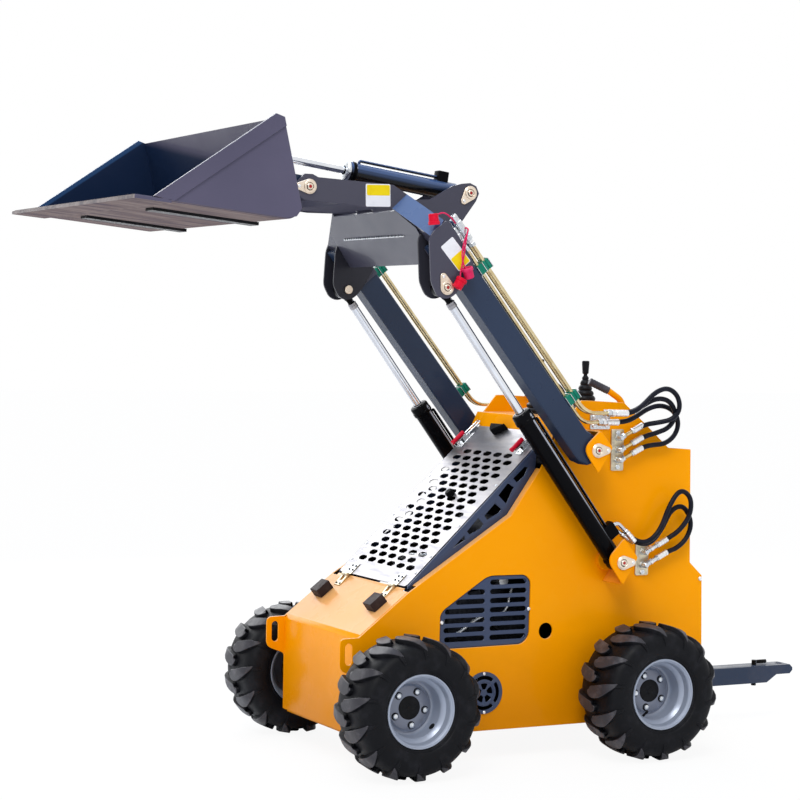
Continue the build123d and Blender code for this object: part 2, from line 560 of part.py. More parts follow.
# boom: two plates, the floor between them, a torque tube, and the lugs of the tilt cylinder
boom = strip([(-600.0, 1821.0), (-436.0, 1815.5)], 8.0, -BOOM_X[0], BOOM_X[0])
boom += disc_x(-560.0, 1856.0, -BOOM_X[0], BOOM_X[0], 27.0)
boom += box(-BOOM_X[0], BOOM_X[0], -600.0, -540.0, 1824.0, 1846.0)
for side in SIDES:
    boom += sided(BOOM_PROFILE, BOOM_X[0], BOOM_X[1], side, [(BUCKET_PIN[0], BUCKET_PIN[1], ARM_PIN_R)])
nodes["boom_frame"] = boom
lugs = []
for side in SIDES:
    lug = sided(LUG_PROFILE, LUG_X[0], LUG_X[1], side, [(TILT_LUG[0], TILT_LUG[1], ARM_PIN_R)])
    lug = lug - cross - boom
    lugs.append(max(lug.solids(), key=lambda q: q.volume))
nodes["tilt_lugs"] = Compound(lugs)


def keeper(pin, x, side, turn):
    """A teardrop plate on a pin's end, its tail turned from +Y by an angle in degrees."""
    c, s = math.cos(math.radians(turn)), math.sin(math.radians(turn))
    out = []
    for y, z in ((-20, -14), (-8, -24), (8, -23), (42, -12), (48, 0), (42, 12), (8, 23), (-8, 24), (-20, 14)):
        out.append((pin[0] + y * c - z * s, pin[1] + y * s + z * c))
    return sided(out, x, x + 5.0, side)


# pins on the arms: bucket pins, the tilt pin, and the stubs that hold the lift rods' eyes
arm_pins = []
for side in SIDES:
    p = disc_x(BUCKET_PIN[0], BUCKET_PIN[1], side * 188.0, side * (BOOM_X[1] + 9.0), ARM_PIN_R)
    arm_pins.append(p + keeper(BUCKET_PIN, BOOM_X[1], side, 180.0))
    p = disc_x(LIFT_TOP[0], LIFT_TOP[1], side * HEAD_OUT_X[0], side * (HEAD_OUT_X[1] + 9.0), ARM_PIN_R)
    arm_pins.append(p + keeper(LIFT_TOP, HEAD_OUT_X[1], side, 112.0))
    arm_pins.append(disc_x(LIFT_TOP[0], LIFT_TOP[1], side * (HEAD_IN_X[0] - 8), side * HEAD_IN_X[1], ARM_PIN_R))
tilt_pin = disc_x(TILT_LUG[0], TILT_LUG[1], -LUG_X[1] - 9.0, LUG_X[1] + 9.0, ARM_PIN_R)
for side in SIDES:
    tilt_pin += keeper(TILT_LUG, LUG_X[1], side, 228.0)
arm_pins.append(tilt_pin)
nodes["arm_pins"] = Compound(arm_pins)

# plated steel tubes up the back of the arms, their clamps and the couplers at the top
TUBE_R = 7.5
TUBE_OFF = 20.0
TUBE_X = (ARM_X[1] - 10.0, ARM_X[1] - 30.0, ARM_X[0] + 15.0)
TUBES = [("left", TUBE_X[0], 1156.0, 372.0), ("left", TUBE_X[1], 1156.0, 372.0), ("left", TUBE_X[2], 1124.0, 362.0),
         ("right", -TUBE_X[0], 1156.0, 372.0), ("right", -TUBE_X[1], 1156.0, 372.0)]
tubes = []
couplers = []
for label, x, z_end, y_end in TUBES:
    off = -(ARM_HALF_D + TUBE_OFF)
    foot = along(ARM_BEND, ARM_U, 0.0, off)
    s = (z_end - foot[1]) / ARM_U[1]
    corner = along(ARM_BEND, ARM_U, s, off)
    top = along(ARM_BEND, ARM_U, 770.0, off)
    tubes.append(pipe([(x, y_end - 60.0, z_end), (x, corner[0], corner[1]), (x, top[0], top[1])], [42.0], TUBE_R))
    couplers.append(rod((x, y_end - 60.0, z_end), (x, y_end, z_end), 10.5))
    end = along(ARM_BEND, ARM_U, 812.0, off)
    couplers.append(rod((x, top[0], top[1]), (x, end[0], end[1]), 9.5))
nodes["steel_tubes"] = Compound(tubes)
nodes["tube_fittings"] = Compound(couplers)

clamps = []
for side, xs in ((1, TUBE_X), (-1, TUBE_X[:2])):
    for s in (235.0, 660.0):
        lo, hi = min(xs) - 9.5, max(xs) + 9.5
        near = along(ARM_BEND, ARM_U, s - 16.0, -ARM_HALF_D)
        a = along(ARM_BEND, ARM_U, s - 16.0, -ARM_HALF_D - 36.0)
        b = along(ARM_BEND, ARM_U, s + 16.0, -ARM_HALF_D - 36.0)
        far = along(ARM_BEND, ARM_U, s + 16.0, -ARM_HALF_D)
        clamp = sided([near, a, b, far], lo, hi, side)
        for x in xs:
            p = along(ARM_BEND, ARM_U, s - 30.0, -ARM_HALF_D - TUBE_OFF)
            q = along(ARM_BEND, ARM_U, s + 30.0, -ARM_HALF_D - TUBE_OFF)
            clamp -= rod((side * x, p[0], p[1]), (side * x, q[0], q[1]), TUBE_R)
        clamps += list(clamp.solids())
nodes["tube_clamps"] = Compound(clamps)


def cylinder_barrel(base, u, length, side_x, eye_half, r, rod_r, pipe_from, pipe_to):
    """A barrel with its base eye and gland, bored for the rod, and a steel line along it."""
    def at(s, n=0.0, x=side_x):
        y, z = along(base, u, s, n)
        return (x, y, z)
    b = rod(at(30.0), at(length), r)
    b += disc_x(base[0], base[1], side_x - eye_half, side_x + eye_half, EYE_R)
    b += rod(at(length - 34.0), at(length - 4.0), r + 2.5)
    b += rod(at(22.0), at(34.0), r - 3.0)
    b -= rod(at(64.0), at(length + 1.0), rod_r + RUN_FIT)
    b -= disc_x(base[0], base[1], side_x - eye_half - 1, side_x + eye_half + 1, ARM_PIN_R + RUN_FIT)
    off = -(r + 9.0)
    run = pipe([at(pipe_from, -(r - 2.0)), at(pipe_from, off), at(pipe_to, off), at(pipe_to, -(r - 2.0))],
               [6.0, 6.0], 5.0)
    return b + run


def cylinder_rod(base, u, start, length, side_x, eye_half, rod_r, eye_r):
    """A rod with the eye at its far end."""
    def at(s):
        y, z = along(base, u, s)
        return (side_x, y, z)
    y, z = along(base, u, length)
    r = rod(at(start), at(length - 10.0), rod_r)
    r += rod(at(length - eye_r - 14.0), at(length - 12.0), rod_r + 6.0)
    r += disc_x(y, z, side_x - eye_half, side_x + eye_half, eye_r)
    return r


for label, side in (("left", 1), ("right", -1)):
    barrel = cylinder_barrel(LIFT_BASE, LIFT_U, BARREL_LEN, side * LIFT_X, EYE_HALF_W, BARREL_R, LIFT_ROD_R,
                             110.0, BARREL_LEN - 50.0)
    for x, pts in ((LIFT_X - 10.0, [(336, 770), (385, 765), (440, 748)]),
                   (LIFT_X - 15.0, [(350, 722), (392, 730), (440, 712)])):
        barrel += pipe([(side * x, y, z) for y, z in pts], [40.0], 6.5)
    nodes["lift_barrel_" + label] = barrel
    nodes["lift_rod_" + label] = cylinder_rod(LIFT_BASE, LIFT_U, 475.0, LIFT_LEN, side * LIFT_X, EYE_HALF_W,
                                              LIFT_ROD_R, EYE_R)
nodes["tilt_barrel"] = cylinder_barrel(TILT_LUG, TILT_U, TILT_BARREL_LEN, 0.0, TILT_EYE_HALF_W, BARREL_R,
                                       TILT_ROD_R, 80.0, TILT_BARREL_LEN - 50.0)
nodes["tilt_rod"] = cylinder_rod(TILT_LUG, TILT_U, 255.0, TILT_LEN, 0.0, 15.0, TILT_ROD_R, 24.0)

# bucket: bent shell, side plates, lip plate, wear bars, ears and the tilt yoke
SIDE_FACE = BUCKET_HALF_W - BUCKET_BAND_T
shell = strip(BUCKET_SHELL, BUCKET_T, -SIDE_FACE + BUCKET_T, SIDE_FACE - BUCKET_T)
for side in SIDES:
    shell += sided(BUCKET_SIDE, SIDE_FACE - BUCKET_T, SIDE_FACE, side)
    shell += sided(BUCKET_BAND, SIDE_FACE, BUCKET_HALF_W, side)
lip = strip([(LIP_Y, 1790.5), (-1330.0, 1780.0)], 12.0, -BUCKET_HALF_W, BUCKET_HALF_W)
shell += lip
floor_a, floor_b = BUCKET_SHELL[0], BUCKET_SHELL[1]
floor_l = math.hypot(floor_b[0] - floor_a[0], floor_b[1] - floor_a[1])
floor_u = ((floor_b[0] - floor_a[0]) / floor_l, (floor_b[1] - floor_a[1]) / floor_l)
for x in (-300.0, 300.0):
    bar_under = [along(floor_a, floor_u, 60.0, -9.0), along(floor_a, floor_u, floor_l, -9.0)]
    shell += strip(bar_under, 10.0, x - 35.0, x + 35.0)
nodes["bucket_shell"] = shell


def wall_y(z):
    """Where the outer face of the bucket's back wall stands at height z."""
    low, high = BUCKET_SHELL[4], BUCKET_SHELL[5]
    return low[0] + (high[0] - low[0]) * (z - low[1]) / (high[1] - low[1])


ears = []
for side in SIDES:
    outline = [(wall_y(1782.0), 1782.0), (-745.0, 1836.0), (-712.0, 1836.0), (-689.0, 1858.0), (-688.0, 1884.0),
               (-708.0, 1903.0), (-735.0, 1906.0), (wall_y(1934.0), 1934.0)]
    ears.append(sided(outline, EAR_X[0], EAR_X[1], side, [(BUCKET_PIN[0], BUCKET_PIN[1], ARM_PIN_R + RUN_FIT)]))
    outline = [(wall_y(1888.0), 1888.0), (-800.0, 1950.0), (-754.0, 1958.0), (-742.0, 1984.0), (-756.0, 2009.0),
               (-800.0, 2014.0), (wall_y(2026.0), 2026.0)]
    yoke = sided(outline, YOKE_X[0], YOKE_X[1], side)
    yoke += disc_x(TILT_TOP[0], TILT_TOP[1], side * YOKE_X[1], side * (YOKE_X[1] + 12), ARM_PIN_R)
    ears.append(yoke)
nodes["bucket_ears"] = Compound(ears)

# hoses from the steel tubes and the lift barrels to the ports
HOSE_R = 8.5
HOSE_PORTS = {"upper_a": (410.0, 1070.0), "upper_b": (410.0, 1029.0), "upper_c": (410.0, 994.0),
              "lower_d": (520.0, 679.0), "lower_e": (520.0, 634.0)}
PORT_OUT = 26.0
HOSES = {
    "upper_a": [(93, 372, 1156), (93, 412, 1156), (92, 457, 1186), (90, 507, 1227), (88, 562, 1245),
                (84, 613, 1217), (79, 629, 1170), (70, 602, 1134), (50, 547, 1124)],
    "upper_b": [(73, 372, 1156), (73, 416, 1156), (70, 466, 1180), (67, 528, 1209), (63, 592, 1199),
                (57, 629, 1150), (48, 604, 1104), (34, 547, 1085)],
    "upper_c": [(53, 362, 1124), (53, 408, 1124), (46, 456, 1142), (39, 508, 1170), (34, 565, 1182),
                (30, 620, 1164), (28, 645, 1121), (27, 630, 1076), (26.5, 590, 1048), (26, 540, 1045)],
    "lower_d": [(58, 440, 748), (58, 475.2, 737.12), (59, 520, 728), (61, 562, 765), (62, 590, 828),
                (62, 636, 880), (60, 688, 856), (54, 686, 800), (44, 648, 752)],
    "lower_e": [(53, 440, 712), (53, 480, 697), (45, 532, 700), (40, 578, 756), (37, 615, 816),
                (34, 670, 826), (31, 706, 778), (29, 690, 724), (27, 650, 689)],
}
for label, (y, z) in HOSE_PORTS.items():
    tip = (y + 34 * 0.9, z + 34 * 0.436)
    HOSES[label] += [(PORT_OUT, tip[0] + 50 * 0.9, tip[1] + 50 * 0.436), (PORT_OUT, tip[0], tip[1])]
for label, points in HOSES.items():
    HOSES[label] = points = [(BODY_HALF_W + x, y, z) for x, y, z in points]
    nodes["hose_" + label + "_left"] = hose(label, points, HOSE_R)
for label in ("upper_a", "upper_b", "lower_d", "lower_e"):
    nodes["hose_" + label + "_right"] = hose(label, [(-x, y, z) for x, y, z in HOSES[label]], HOSE_R)

for name, solid in nodes.items():
    nodes[name] = Pos(0, SHIFT_Y, 0) * solid

os.makedirs("parts", exist_ok=True)
for name, solid in nodes.items():
    export_step(solid, "parts/" + name + ".step")
print(len(nodes), "nodes, shift", SHIFT_Y)
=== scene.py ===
# %% [markdown]
# # A compact skid steer loader, dressed piece by piece
#
# The real object is a small wheeled loader: a folded sheet-metal body on four lugged tyres, two lift
# arms on hydraulic cylinders, and a bucket. The imported CAD model is the fixed frame of this lesson.
# Every piece made here is worked out in the same place and scale as that frame, so nothing has to be
# fitted afterwards. We start by loading the frame.

# %% Load the frame
import json
import math

import bmesh
import bpy
import numpy as np
from mathutils import Matrix, Vector
from mathutils.geometry import tessellate_polygon

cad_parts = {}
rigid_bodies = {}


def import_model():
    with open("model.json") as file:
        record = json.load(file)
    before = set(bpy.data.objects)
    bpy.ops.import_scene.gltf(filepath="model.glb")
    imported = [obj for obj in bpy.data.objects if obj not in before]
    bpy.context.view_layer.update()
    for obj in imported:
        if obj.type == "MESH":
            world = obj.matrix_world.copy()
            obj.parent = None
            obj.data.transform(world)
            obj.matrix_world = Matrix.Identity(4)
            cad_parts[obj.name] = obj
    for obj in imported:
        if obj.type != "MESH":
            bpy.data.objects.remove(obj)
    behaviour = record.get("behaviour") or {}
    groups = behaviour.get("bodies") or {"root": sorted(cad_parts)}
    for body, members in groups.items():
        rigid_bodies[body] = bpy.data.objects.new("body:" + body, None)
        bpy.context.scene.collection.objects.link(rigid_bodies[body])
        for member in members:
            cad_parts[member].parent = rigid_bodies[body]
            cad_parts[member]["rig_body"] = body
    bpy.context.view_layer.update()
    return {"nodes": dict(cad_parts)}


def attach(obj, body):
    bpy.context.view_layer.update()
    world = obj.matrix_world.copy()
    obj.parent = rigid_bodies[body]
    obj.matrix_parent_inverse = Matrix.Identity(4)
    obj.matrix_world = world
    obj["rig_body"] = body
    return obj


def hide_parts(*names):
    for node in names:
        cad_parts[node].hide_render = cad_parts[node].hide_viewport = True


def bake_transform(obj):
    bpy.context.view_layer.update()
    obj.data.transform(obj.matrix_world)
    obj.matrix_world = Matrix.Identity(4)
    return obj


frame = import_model()
scene = bpy.context.scene
scene.view_settings.view_transform = "Standard"

# %% [markdown]
# ## Where things are
#
# The model's source states its sizes in millimetres from a point half way between the axles, and moves
# the finished machine back by 36 mm. We keep those numbers and convert them in one place, because a
# size that can be compared with the source is easier to trust than one in moved metres.

# %% Millimetres of the source to metres of the frame
SHIFT_Y = 36.0
AXLE_Y, AXLE_Z = 453.5, 228.5
SIDES = ((1, "left"), (-1, "right"))


def metres(points):
    """Millimetres in the source's frame to metres: add SHIFT_Y to y, then divide by 1000."""
    return (np.asarray(points, float) + (0.0, SHIFT_Y, 0.0)) / 1000.0


def unit(vectors):
    """Each vector divided by its own length."""
    vectors = np.asarray(vectors, float)
    return vectors / np.linalg.norm(vectors, axis=-1, keepdims=True)


print("the rear axle in metres:", metres((0.0, AXLE_Y, AXLE_Z)))

# %% [markdown]
# ## The camera
#
# The picture was taken from the front left, a little above waist height, with a long lens: the left
# side of the body shows broad and the nose narrow. A camera is a place, three turns and a lens. The
# three turns are written as azimuth, elevation and roll, because they can be read and checked, and
# they are joined into one matrix.

# %% Set up the camera
CAMERA_PLACE = Vector((6.4970, -3.5934, 1.4122))
azimuth, elevation, roll = np.radians([62.80480, 1.87830, 1.01634])
backward = np.array([math.sin(azimuth) * math.cos(elevation), -math.cos(azimuth) * math.cos(elevation),
                     math.sin(elevation)])
level = np.array([math.cos(azimuth), math.sin(azimuth), 0.0])
upright = np.cross(backward, level)
camera = bpy.data.objects.new("camera", bpy.data.cameras.new("camera"))
scene.collection.objects.link(camera)
turn = Matrix([level * math.cos(roll) + upright * math.sin(roll),
               upright * math.cos(roll) - level * math.sin(roll), backward]).transposed()
camera.matrix_world = Matrix.Translation(CAMERA_PLACE) @ turn.to_4x4()
camera.data.sensor_width = 36.0
camera.data.lens = 97.683
camera.data.shift_x, camera.data.shift_y = 0.00721, 0.00478
camera.data.clip_end = 200.0
scene.camera = camera
print("camera", round(CAMERA_PLACE.length, 2), "m from the origin")

# %% [markdown]
# ## Finishes
#
# A finish is a node tree around Blender's Principled shader. Painted steel is never one flat colour:
# it drifts a little from cloud to cloud, gathers dust low down and has a fine skin like orange peel.
# The small class below holds the few nodes that all finishes are made from, so that each finish can
# then be read as a short recipe. Patterns read Object coordinates, which are the same metres as the
# frame, so a scale of 100 is a detail of about a centimetre.

# %% A small kit for finishes


def srgb(red, green, blue):
    """A colour of 0 to 255 as linear light: ((c / 255 + 0.055) / 1.055) to the power 2.4."""
    c = np.array([red, green, blue]) / 255.0
    return tuple(np.where(c <= 0.04045, c / 12.92, ((c + 0.055) / 1.055) ** 2.4)) + (1.0,)


class Finish:
    """One node material: colours, patterns and bumps are added to its Principled shader."""

    def __init__(self, name, colour, **sockets):
        self.material = bpy.data.materials.new(name)
        self.material.use_nodes = True
        self.material.diffuse_color = colour
        self.tree = self.material.node_tree
        self.skin = self.tree.nodes["Principled BSDF"]
        self.skin.inputs["Base Color"].default_value = colour
        for socket, value in sockets.items():
            self.skin.inputs[socket.replace("_", " ")].default_value = value
        self.place = self.add("TexCoord").outputs["Object"]

    def add(self, kind, inputs=(), **settings):
        """A new node; inputs are (socket, value or output) pairs."""
        node = self.tree.nodes.new("ShaderNode" + kind)
        for setting, value in settings.items():
            setattr(node, setting, value)
        for socket, value in inputs:
            if isinstance(value, bpy.types.NodeSocket):
                self.tree.links.new(value, node.inputs[socket])
            else:
                node.inputs[socket].default_value = value
        return node

    def stretched(self, scale):
        """The place with each axis multiplied by its own scale."""
        return self.add("Mapping", [("Vector", self.place), ("Scale", scale)]).outputs[0]

    def noise(self, scale, detail=2.0, rough=0.5, place=None):
        """Soft cloudy noise of 0 to 1, with scale clouds to the metre."""
        return self.add("TexNoise", [("Vector", place or self.place), ("Scale", scale), ("Detail", detail),
                                     ("Roughness", rough)]).outputs["Fac"]

    def cells(self, scale):
        """Distance to the nearest of scattered points, with scale points to the metre."""
        return self.add("TexVoronoi", [("Vector", self.place), ("Scale", scale)]).outputs["Distance"]

    def mask(self, value, low, high, out_low=0.0, out_high=1.0):
        """A value spread so that low becomes out_low and high becomes out_high, and held outside."""
        return self.add("MapRange", [("Value", value), ("From Min", low), ("From Max", high),
                                     ("To Min", out_low), ("To Max", out_high)]).outputs[0]

    def math(self, operation, a, b):
        """Two values put together by one operation."""
        return self.add("Math", [(0, a), (1, b)], operation=operation).outputs[0]

    def both(self, a, b):
        """The product of two values of 0 to 1, high only where both are."""
        return self.math("MULTIPLY", a, b)

    def either(self, a, b):
        """The larger of two values."""
        return self.math("MAXIMUM", a, b)

    def within(self, value, limit):
        """1 where a value lies between -limit and limit."""
        return self.math("LESS_THAN", self.math("ABSOLUTE", value, 0.0), limit)

    def along(self, vector, direction):
        """How far a vector reaches along a direction, their dot product."""
        return self.add("VectorMath", [(0, vector), (1, direction)], operation="DOT_PRODUCT").outputs["Value"]

    def part(self, vector, axis):
        """One part of a vector, X, Y or Z."""
        return self.add("SeparateXYZ", [("Vector", vector)]).outputs[axis]

    def height(self):
        """How high a point stands above the ground, in metres."""
        return self.part(self.place, "Z")

    def normal(self):
        """The surface's own direction, in the object's axes."""
        return self.place.node.outputs["Normal"]

    def facing(self, axis):
        """One part of the surface's own direction."""
        return self.part(self.normal(), axis)

    def over(self, factor, colour):
        """Lay another colour over the base colour where factor is 1."""
        return self.set("Base Color", self.blend(factor, self.fed("Base Color"), colour))

    def blend(self, factor, first, second):
        """A colour between two, by factor."""
        return self.add("Mix", [("Factor", factor), (6, first), (7, second)], data_type="RGBA").outputs[2]

    def fed(self, socket):
        """What feeds one socket of the shader now."""
        return self.skin.inputs[socket].links[0].from_socket

    def set(self, socket, output):
        """Feed one socket of the shader."""
        self.tree.links.new(output, self.skin.inputs[socket])
        return self

    def bump(self, height, depth, strength=1.0):
        """Raise the surface by a pattern, depth metres high."""
        node = self.add("Bump", [("Height", height), ("Distance", depth), ("Strength", strength)])
        self.tree.links.new(node.outputs[0], self.skin.inputs["Normal"])
        return self


def gloss_paint(name, tone, drift, dusty, rough, coat, dust_top=0.55, ior=1.2):
    """Sprayed gloss paint: two near tones by clouds, dust that fades out at dust_top metres, and a skin
    like orange peel. Roughness drifts by a tenth or so."""
    f = Finish(name, tone, Coat_Weight=coat, Coat_Roughness=0.08, Coat_IOR=ior, IOR=ior)
    colour = f.blend(f.mask(f.noise(1.7, 3.0), 0.35, 0.65), tone, drift)
    low = f.mask(f.height(), dust_top, 0.05, 0.0, 0.30)
    dust = f.both(low, f.mask(f.noise(7.0, 6.0, 0.62), 0.42, 0.72))
    specks = f.both(f.mask(f.cells(85.0), 0.10, 0.04), f.mask(f.noise(3.0), 0.5, 0.7, 0.0, 0.35))
    f.set("Base Color", f.blend(f.either(dust, specks), colour, dusty))
    wear = f.math("ADD", f.mask(f.noise(11.0, 4.0), 0.3, 0.7, rough - 0.05, rough + 0.07), dust)
    f.set("Roughness", wear)
    return f.bump(f.noise(420.0, 1.0), 0.0006, 0.10)


def bare_metal(name, tone, drift, rough, grain=(1.0, 1.0, 1.0), scale=60.0, depth=0.0002):
    """Unpainted metal: a metallic base whose tone and roughness drift along the grain."""
    f = Finish(name, tone, Metallic=1.0)
    lines = f.noise(scale, 4.0, 0.6, f.stretched(grain))
    f.set("Base Color", f.blend(f.mask(lines, 0.35, 0.68), tone, drift))
    f.set("Roughness", f.mask(lines, 0.3, 0.7, rough - 0.04, rough + 0.10))
    return f.bump(lines, depth, 0.35)


def moulded(name, tone, drift, rough, grain=350.0, depth=0.0004, ior=1.22):
    """Moulded rubber or plastic: a dull base with a fine grain and pale scuffs."""
    f = Finish(name, tone, IOR=ior)
    f.set("Base Color", f.blend(f.mask(f.noise(22.0, 6.0, 0.65), 0.5, 0.78), tone, drift))
    f.set("Roughness", f.mask(f.noise(40.0, 3.0), 0.3, 0.7, rough - 0.06, rough + 0.08))
    return f.bump(f.noise(grain, 2.0), depth, 0.4)


print("finish kit ready")

# %% [markdown]
# ## One line for each finish
#
# The machine wears some thirty finishes. Each could be a node tree of its own, but most differ only in
# tone, gloss and grain, so each group shares one of the three recipes and a finish is one line.

# %% Paints
DUST = srgb(92, 88, 92)
BARREL_DUST = srgb(60, 57, 54)
body_paint = gloss_paint("body_orange", srgb(249, 155, 0), srgb(254, 162, 1), srgb(168, 104, 20), 0.26, 0.5,
                         ior=1.12)
arm_paint = gloss_paint("arm_navy", srgb(27, 42, 66), srgb(35, 50, 75), DUST, 0.30, 0.5, ior=1.3)
head_paint = gloss_paint("head_grey_navy", srgb(62, 62, 76), srgb(71, 70, 84), DUST, 0.32, 0.4, ior=1.3)
# painted shade: a darker copy of the head paint, for head plates that stand in shade
shade_paint = gloss_paint("head_plates_painted_shade", srgb(43, 43, 50), srgb(50, 50, 58), DUST, 0.36, 0.3, ior=1.25)
strut_paint = gloss_paint("strut_navy", srgb(62, 62, 76), srgb(71, 70, 84), DUST, 0.28, 0.5, ior=1.3)
vent_paint = gloss_paint("vent_blue_grey", srgb(54, 65, 90), srgb(62, 73, 100), DUST, 0.30, 0.4, ior=1.25)
bucket_paint = gloss_paint("bucket_grey_navy", srgb(82, 79, 100), srgb(92, 88, 110), srgb(110, 104, 110),
                           0.34, 0.3, ior=1.25)
black_paint = gloss_paint("cylinder_black", srgb(7, 7, 9), srgb(12, 12, 15), BARREL_DUST, 0.20, 0.25,
                          ior=1.14)
tilt_paint = gloss_paint("tilt_cylinder_black", srgb(10, 11, 14), srgb(15, 16, 20), BARREL_DUST, 0.20, 0.7,
                         ior=1.2)
rim_paint = gloss_paint("rim_silver", srgb(142, 151, 168), srgb(160, 168, 184), srgb(110, 106, 104), 0.34,
                        0.4, 0.2, 1.35)
rim_paint.skin.inputs["Metallic"].default_value = 0.35
print(len(bpy.data.materials), "paints made")

# %% Metals, rubber and plastic
dark_metal = bare_metal("dark_castings", srgb(60, 62, 68), srgb(38, 40, 46), 0.5)
chrome = bare_metal("chrome", srgb(232, 234, 238), srgb(214, 217, 224), 0.09, scale=9.0, depth=0.0)
stainless = bare_metal("stainless", srgb(163, 160, 161), srgb(149, 148, 154), 0.38, (1.0, 5.0, 5.0), 12.0,
                       0.00002)
bright_zinc = bare_metal("bright_zinc", srgb(222, 224, 226), srgb(186, 192, 198), 0.24, scale=160.0)
gold_zinc = bare_metal("gold_zinc", srgb(222, 206, 166), srgb(194, 172, 126), 0.22, scale=30.0, depth=0.0)
plate_zinc = bare_metal("plate_zinc", srgb(216, 206, 178), srgb(188, 178, 160), 0.34, scale=90.0)
sleeve_white = bare_metal("sleeve_white", srgb(236, 236, 236), srgb(222, 222, 224), 0.30, scale=120.0)
keeper_zinc = bare_metal("keeper_cream", srgb(238, 224, 206), srgb(222, 204, 184), 0.30, scale=40.0)
black_plastic = moulded("black_plastic", srgb(20, 20, 23), srgb(44, 44, 48), 0.42)
dull_black = moulded("dull_black", srgb(7, 7, 9), srgb(15, 15, 18), 0.6)
hose_rubber = moulded("hose_rubber", srgb(17, 19, 30), srgb(32, 34, 48), 0.36, 900.0, 0.0003)
stop_rubber = moulded("stop_rubber", srgb(48, 38, 38), srgb(72, 62, 60), 0.55)
grip_rubber = moulded("grip_grey", srgb(58, 56, 62), srgb(86, 84, 90), 0.38)
clamp_plastic = moulded("clamp_green", srgb(22, 118, 96), srgb(44, 140, 118), 0.45)
cap_plastic = moulded("cap_red", srgb(214, 14, 46), srgb(232, 48, 78), 0.34)
strap_plastic = moulded("strap_pink", srgb(216, 40, 92), srgb(232, 84, 128), 0.38)
red_centre = moulded("pin_red", srgb(176, 44, 46), srgb(120, 60, 56), 0.4)
for finish in (black_paint, dull_black):
    finish.skin.inputs["Specular IOR Level"].default_value = 0.25
print(len(bpy.data.materials), "finishes made")

# %% [markdown]
# ## What light and work do to the body paint
#
# The orange sides get painted shade towards the ground, the sloped faces on top are pale with dust
# and a painted reflection of the sky, and the engine bay gets painted shade inside. More lamps would
# also light everything else. So the paint itself changes: by height, by the way a face looks, and by
# whether it looks towards the middle of the bay.

# %% Body paint by height and direction
GROUND_SHADE = (0.42, 0.14)
BAY_MIDDLE = (0.0, 0.136, 0.5)
BAY_HALF, BAY_TOP, BAY_FRONT = 0.2847, 1.02, -0.515
paint = body_paint
# painted shade: the orange darkens between 0.42 m and 0.14 m above the ground
paint.over(paint.mask(paint.height(), *GROUND_SHADE), srgb(210, 130, 0))
# dust on faces that look up, with a painted reflection of the sky that makes them pale
upward = paint.mask(paint.facing("Z"), 0.5, 0.74, 0.0, 0.56)
patchy_dust_and_sky = paint.mask(paint.noise(5.0, 4.0), 0.25, 0.6, 0.7, 1.0)
paint.over(paint.both(upward, patchy_dust_and_sky), srgb(218, 186, 146))
# painted shade: inside the engine bay, faces that look towards its middle are near black
to_middle = paint.add("VectorMath", [(0, BAY_MIDDLE), (1, paint.place)], operation="SUBTRACT").outputs[0]
inward = paint.math("GREATER_THAN", paint.along(to_middle, paint.normal()), 0.02)
narrow = paint.within(paint.part(paint.place, "X"), BAY_HALF)
below = paint.math("LESS_THAN", paint.height(), BAY_TOP)
behind = paint.math("GREATER_THAN", paint.part(paint.place, "Y"), BAY_FRONT)
paint.over(paint.both(inward, paint.both(narrow, paint.both(below, behind))), srgb(24, 22, 22))
print("body paint darkens below", GROUND_SHADE[0], "m")

# %% [markdown]
# ## Sky on the cylinders, shade under the boom
#
# The tilt cylinder and the struts get a painted blue reflection of the sky, the lift barrels a thin
# painted highlight, the chrome rods a painted dark reflection on their forward side, the rims' recessed
# discs painted shade, and the undersides of boom and arms are dull. Lamps can't do that for one piece
# alone, so each is a mask on the direction of the surface, laid over the base colour.

# %% Painted sky reflections, highlight and shade, and dull undersides
# painted reflection: a blue sky colour over faces that look up
for finish, low, sky in ((tilt_paint, -0.25, srgb(74, 98, 142)), (strut_paint, 0.25, srgb(68, 95, 142))):
    finish.over(finish.mask(finish.facing("Z"), low, 0.5, 0.0, 0.85), sky)
for finish in (head_paint, arm_paint):
    beneath = finish.mask(finish.facing("Z"), -0.5, -0.8)
    finish.set("Coat Weight", finish.mask(beneath, 0.0, 1.0, 0.4, 0.0))
    finish.set("Specular IOR Level", finish.mask(beneath, 0.0, 1.0, 0.5, 0.1))
    finish.set("Roughness", finish.either(finish.fed("Roughness"), finish.math("MULTIPLY", beneath, 0.9)))
# painted highlight: a thin pale line on the black barrels, where the surface looks along BRIGHT_WAY
BRIGHT_WAY = (0.876, 0.384, 0.292)
painted_highlight_line = black_paint.mask(black_paint.along(black_paint.normal(), BRIGHT_WAY), 0.984, 0.995, 0.0, 0.8)
black_paint.over(painted_highlight_line, srgb(190, 194, 204))
# painted dark reflection: the chrome is greyer on the side that looks forward
chrome.over(chrome.mask(chrome.facing("Y"), -0.35, -0.85, 0.0, 0.8), srgb(150, 150, 154))
# painted shade: the rim's recessed disc faces are darker
disc_face = rim_paint.mask(rim_paint.math("ABSOLUTE", rim_paint.facing("X"), 0.0), 0.8, 0.95, 0.0, 0.7)
disc_depth = rim_paint.within(rim_paint.part(rim_paint.place, "X"), 0.48)
rim_paint.over(rim_paint.both(disc_face, disc_depth), srgb(104, 106, 118))
print("the bright line looks along", BRIGHT_WAY)

# %% [markdown]
# ## The bucket's inside, lip and underside
#
# Inside, the bucket is given painted shade, a dark blue that stops along a straight line across the back
# wall, and where it digs it is worn bare steel. A second material could only change from face to face.
# Masks on place and direction let the painted shade stop along a straight line inside, and let the steel
# break up into streaks.

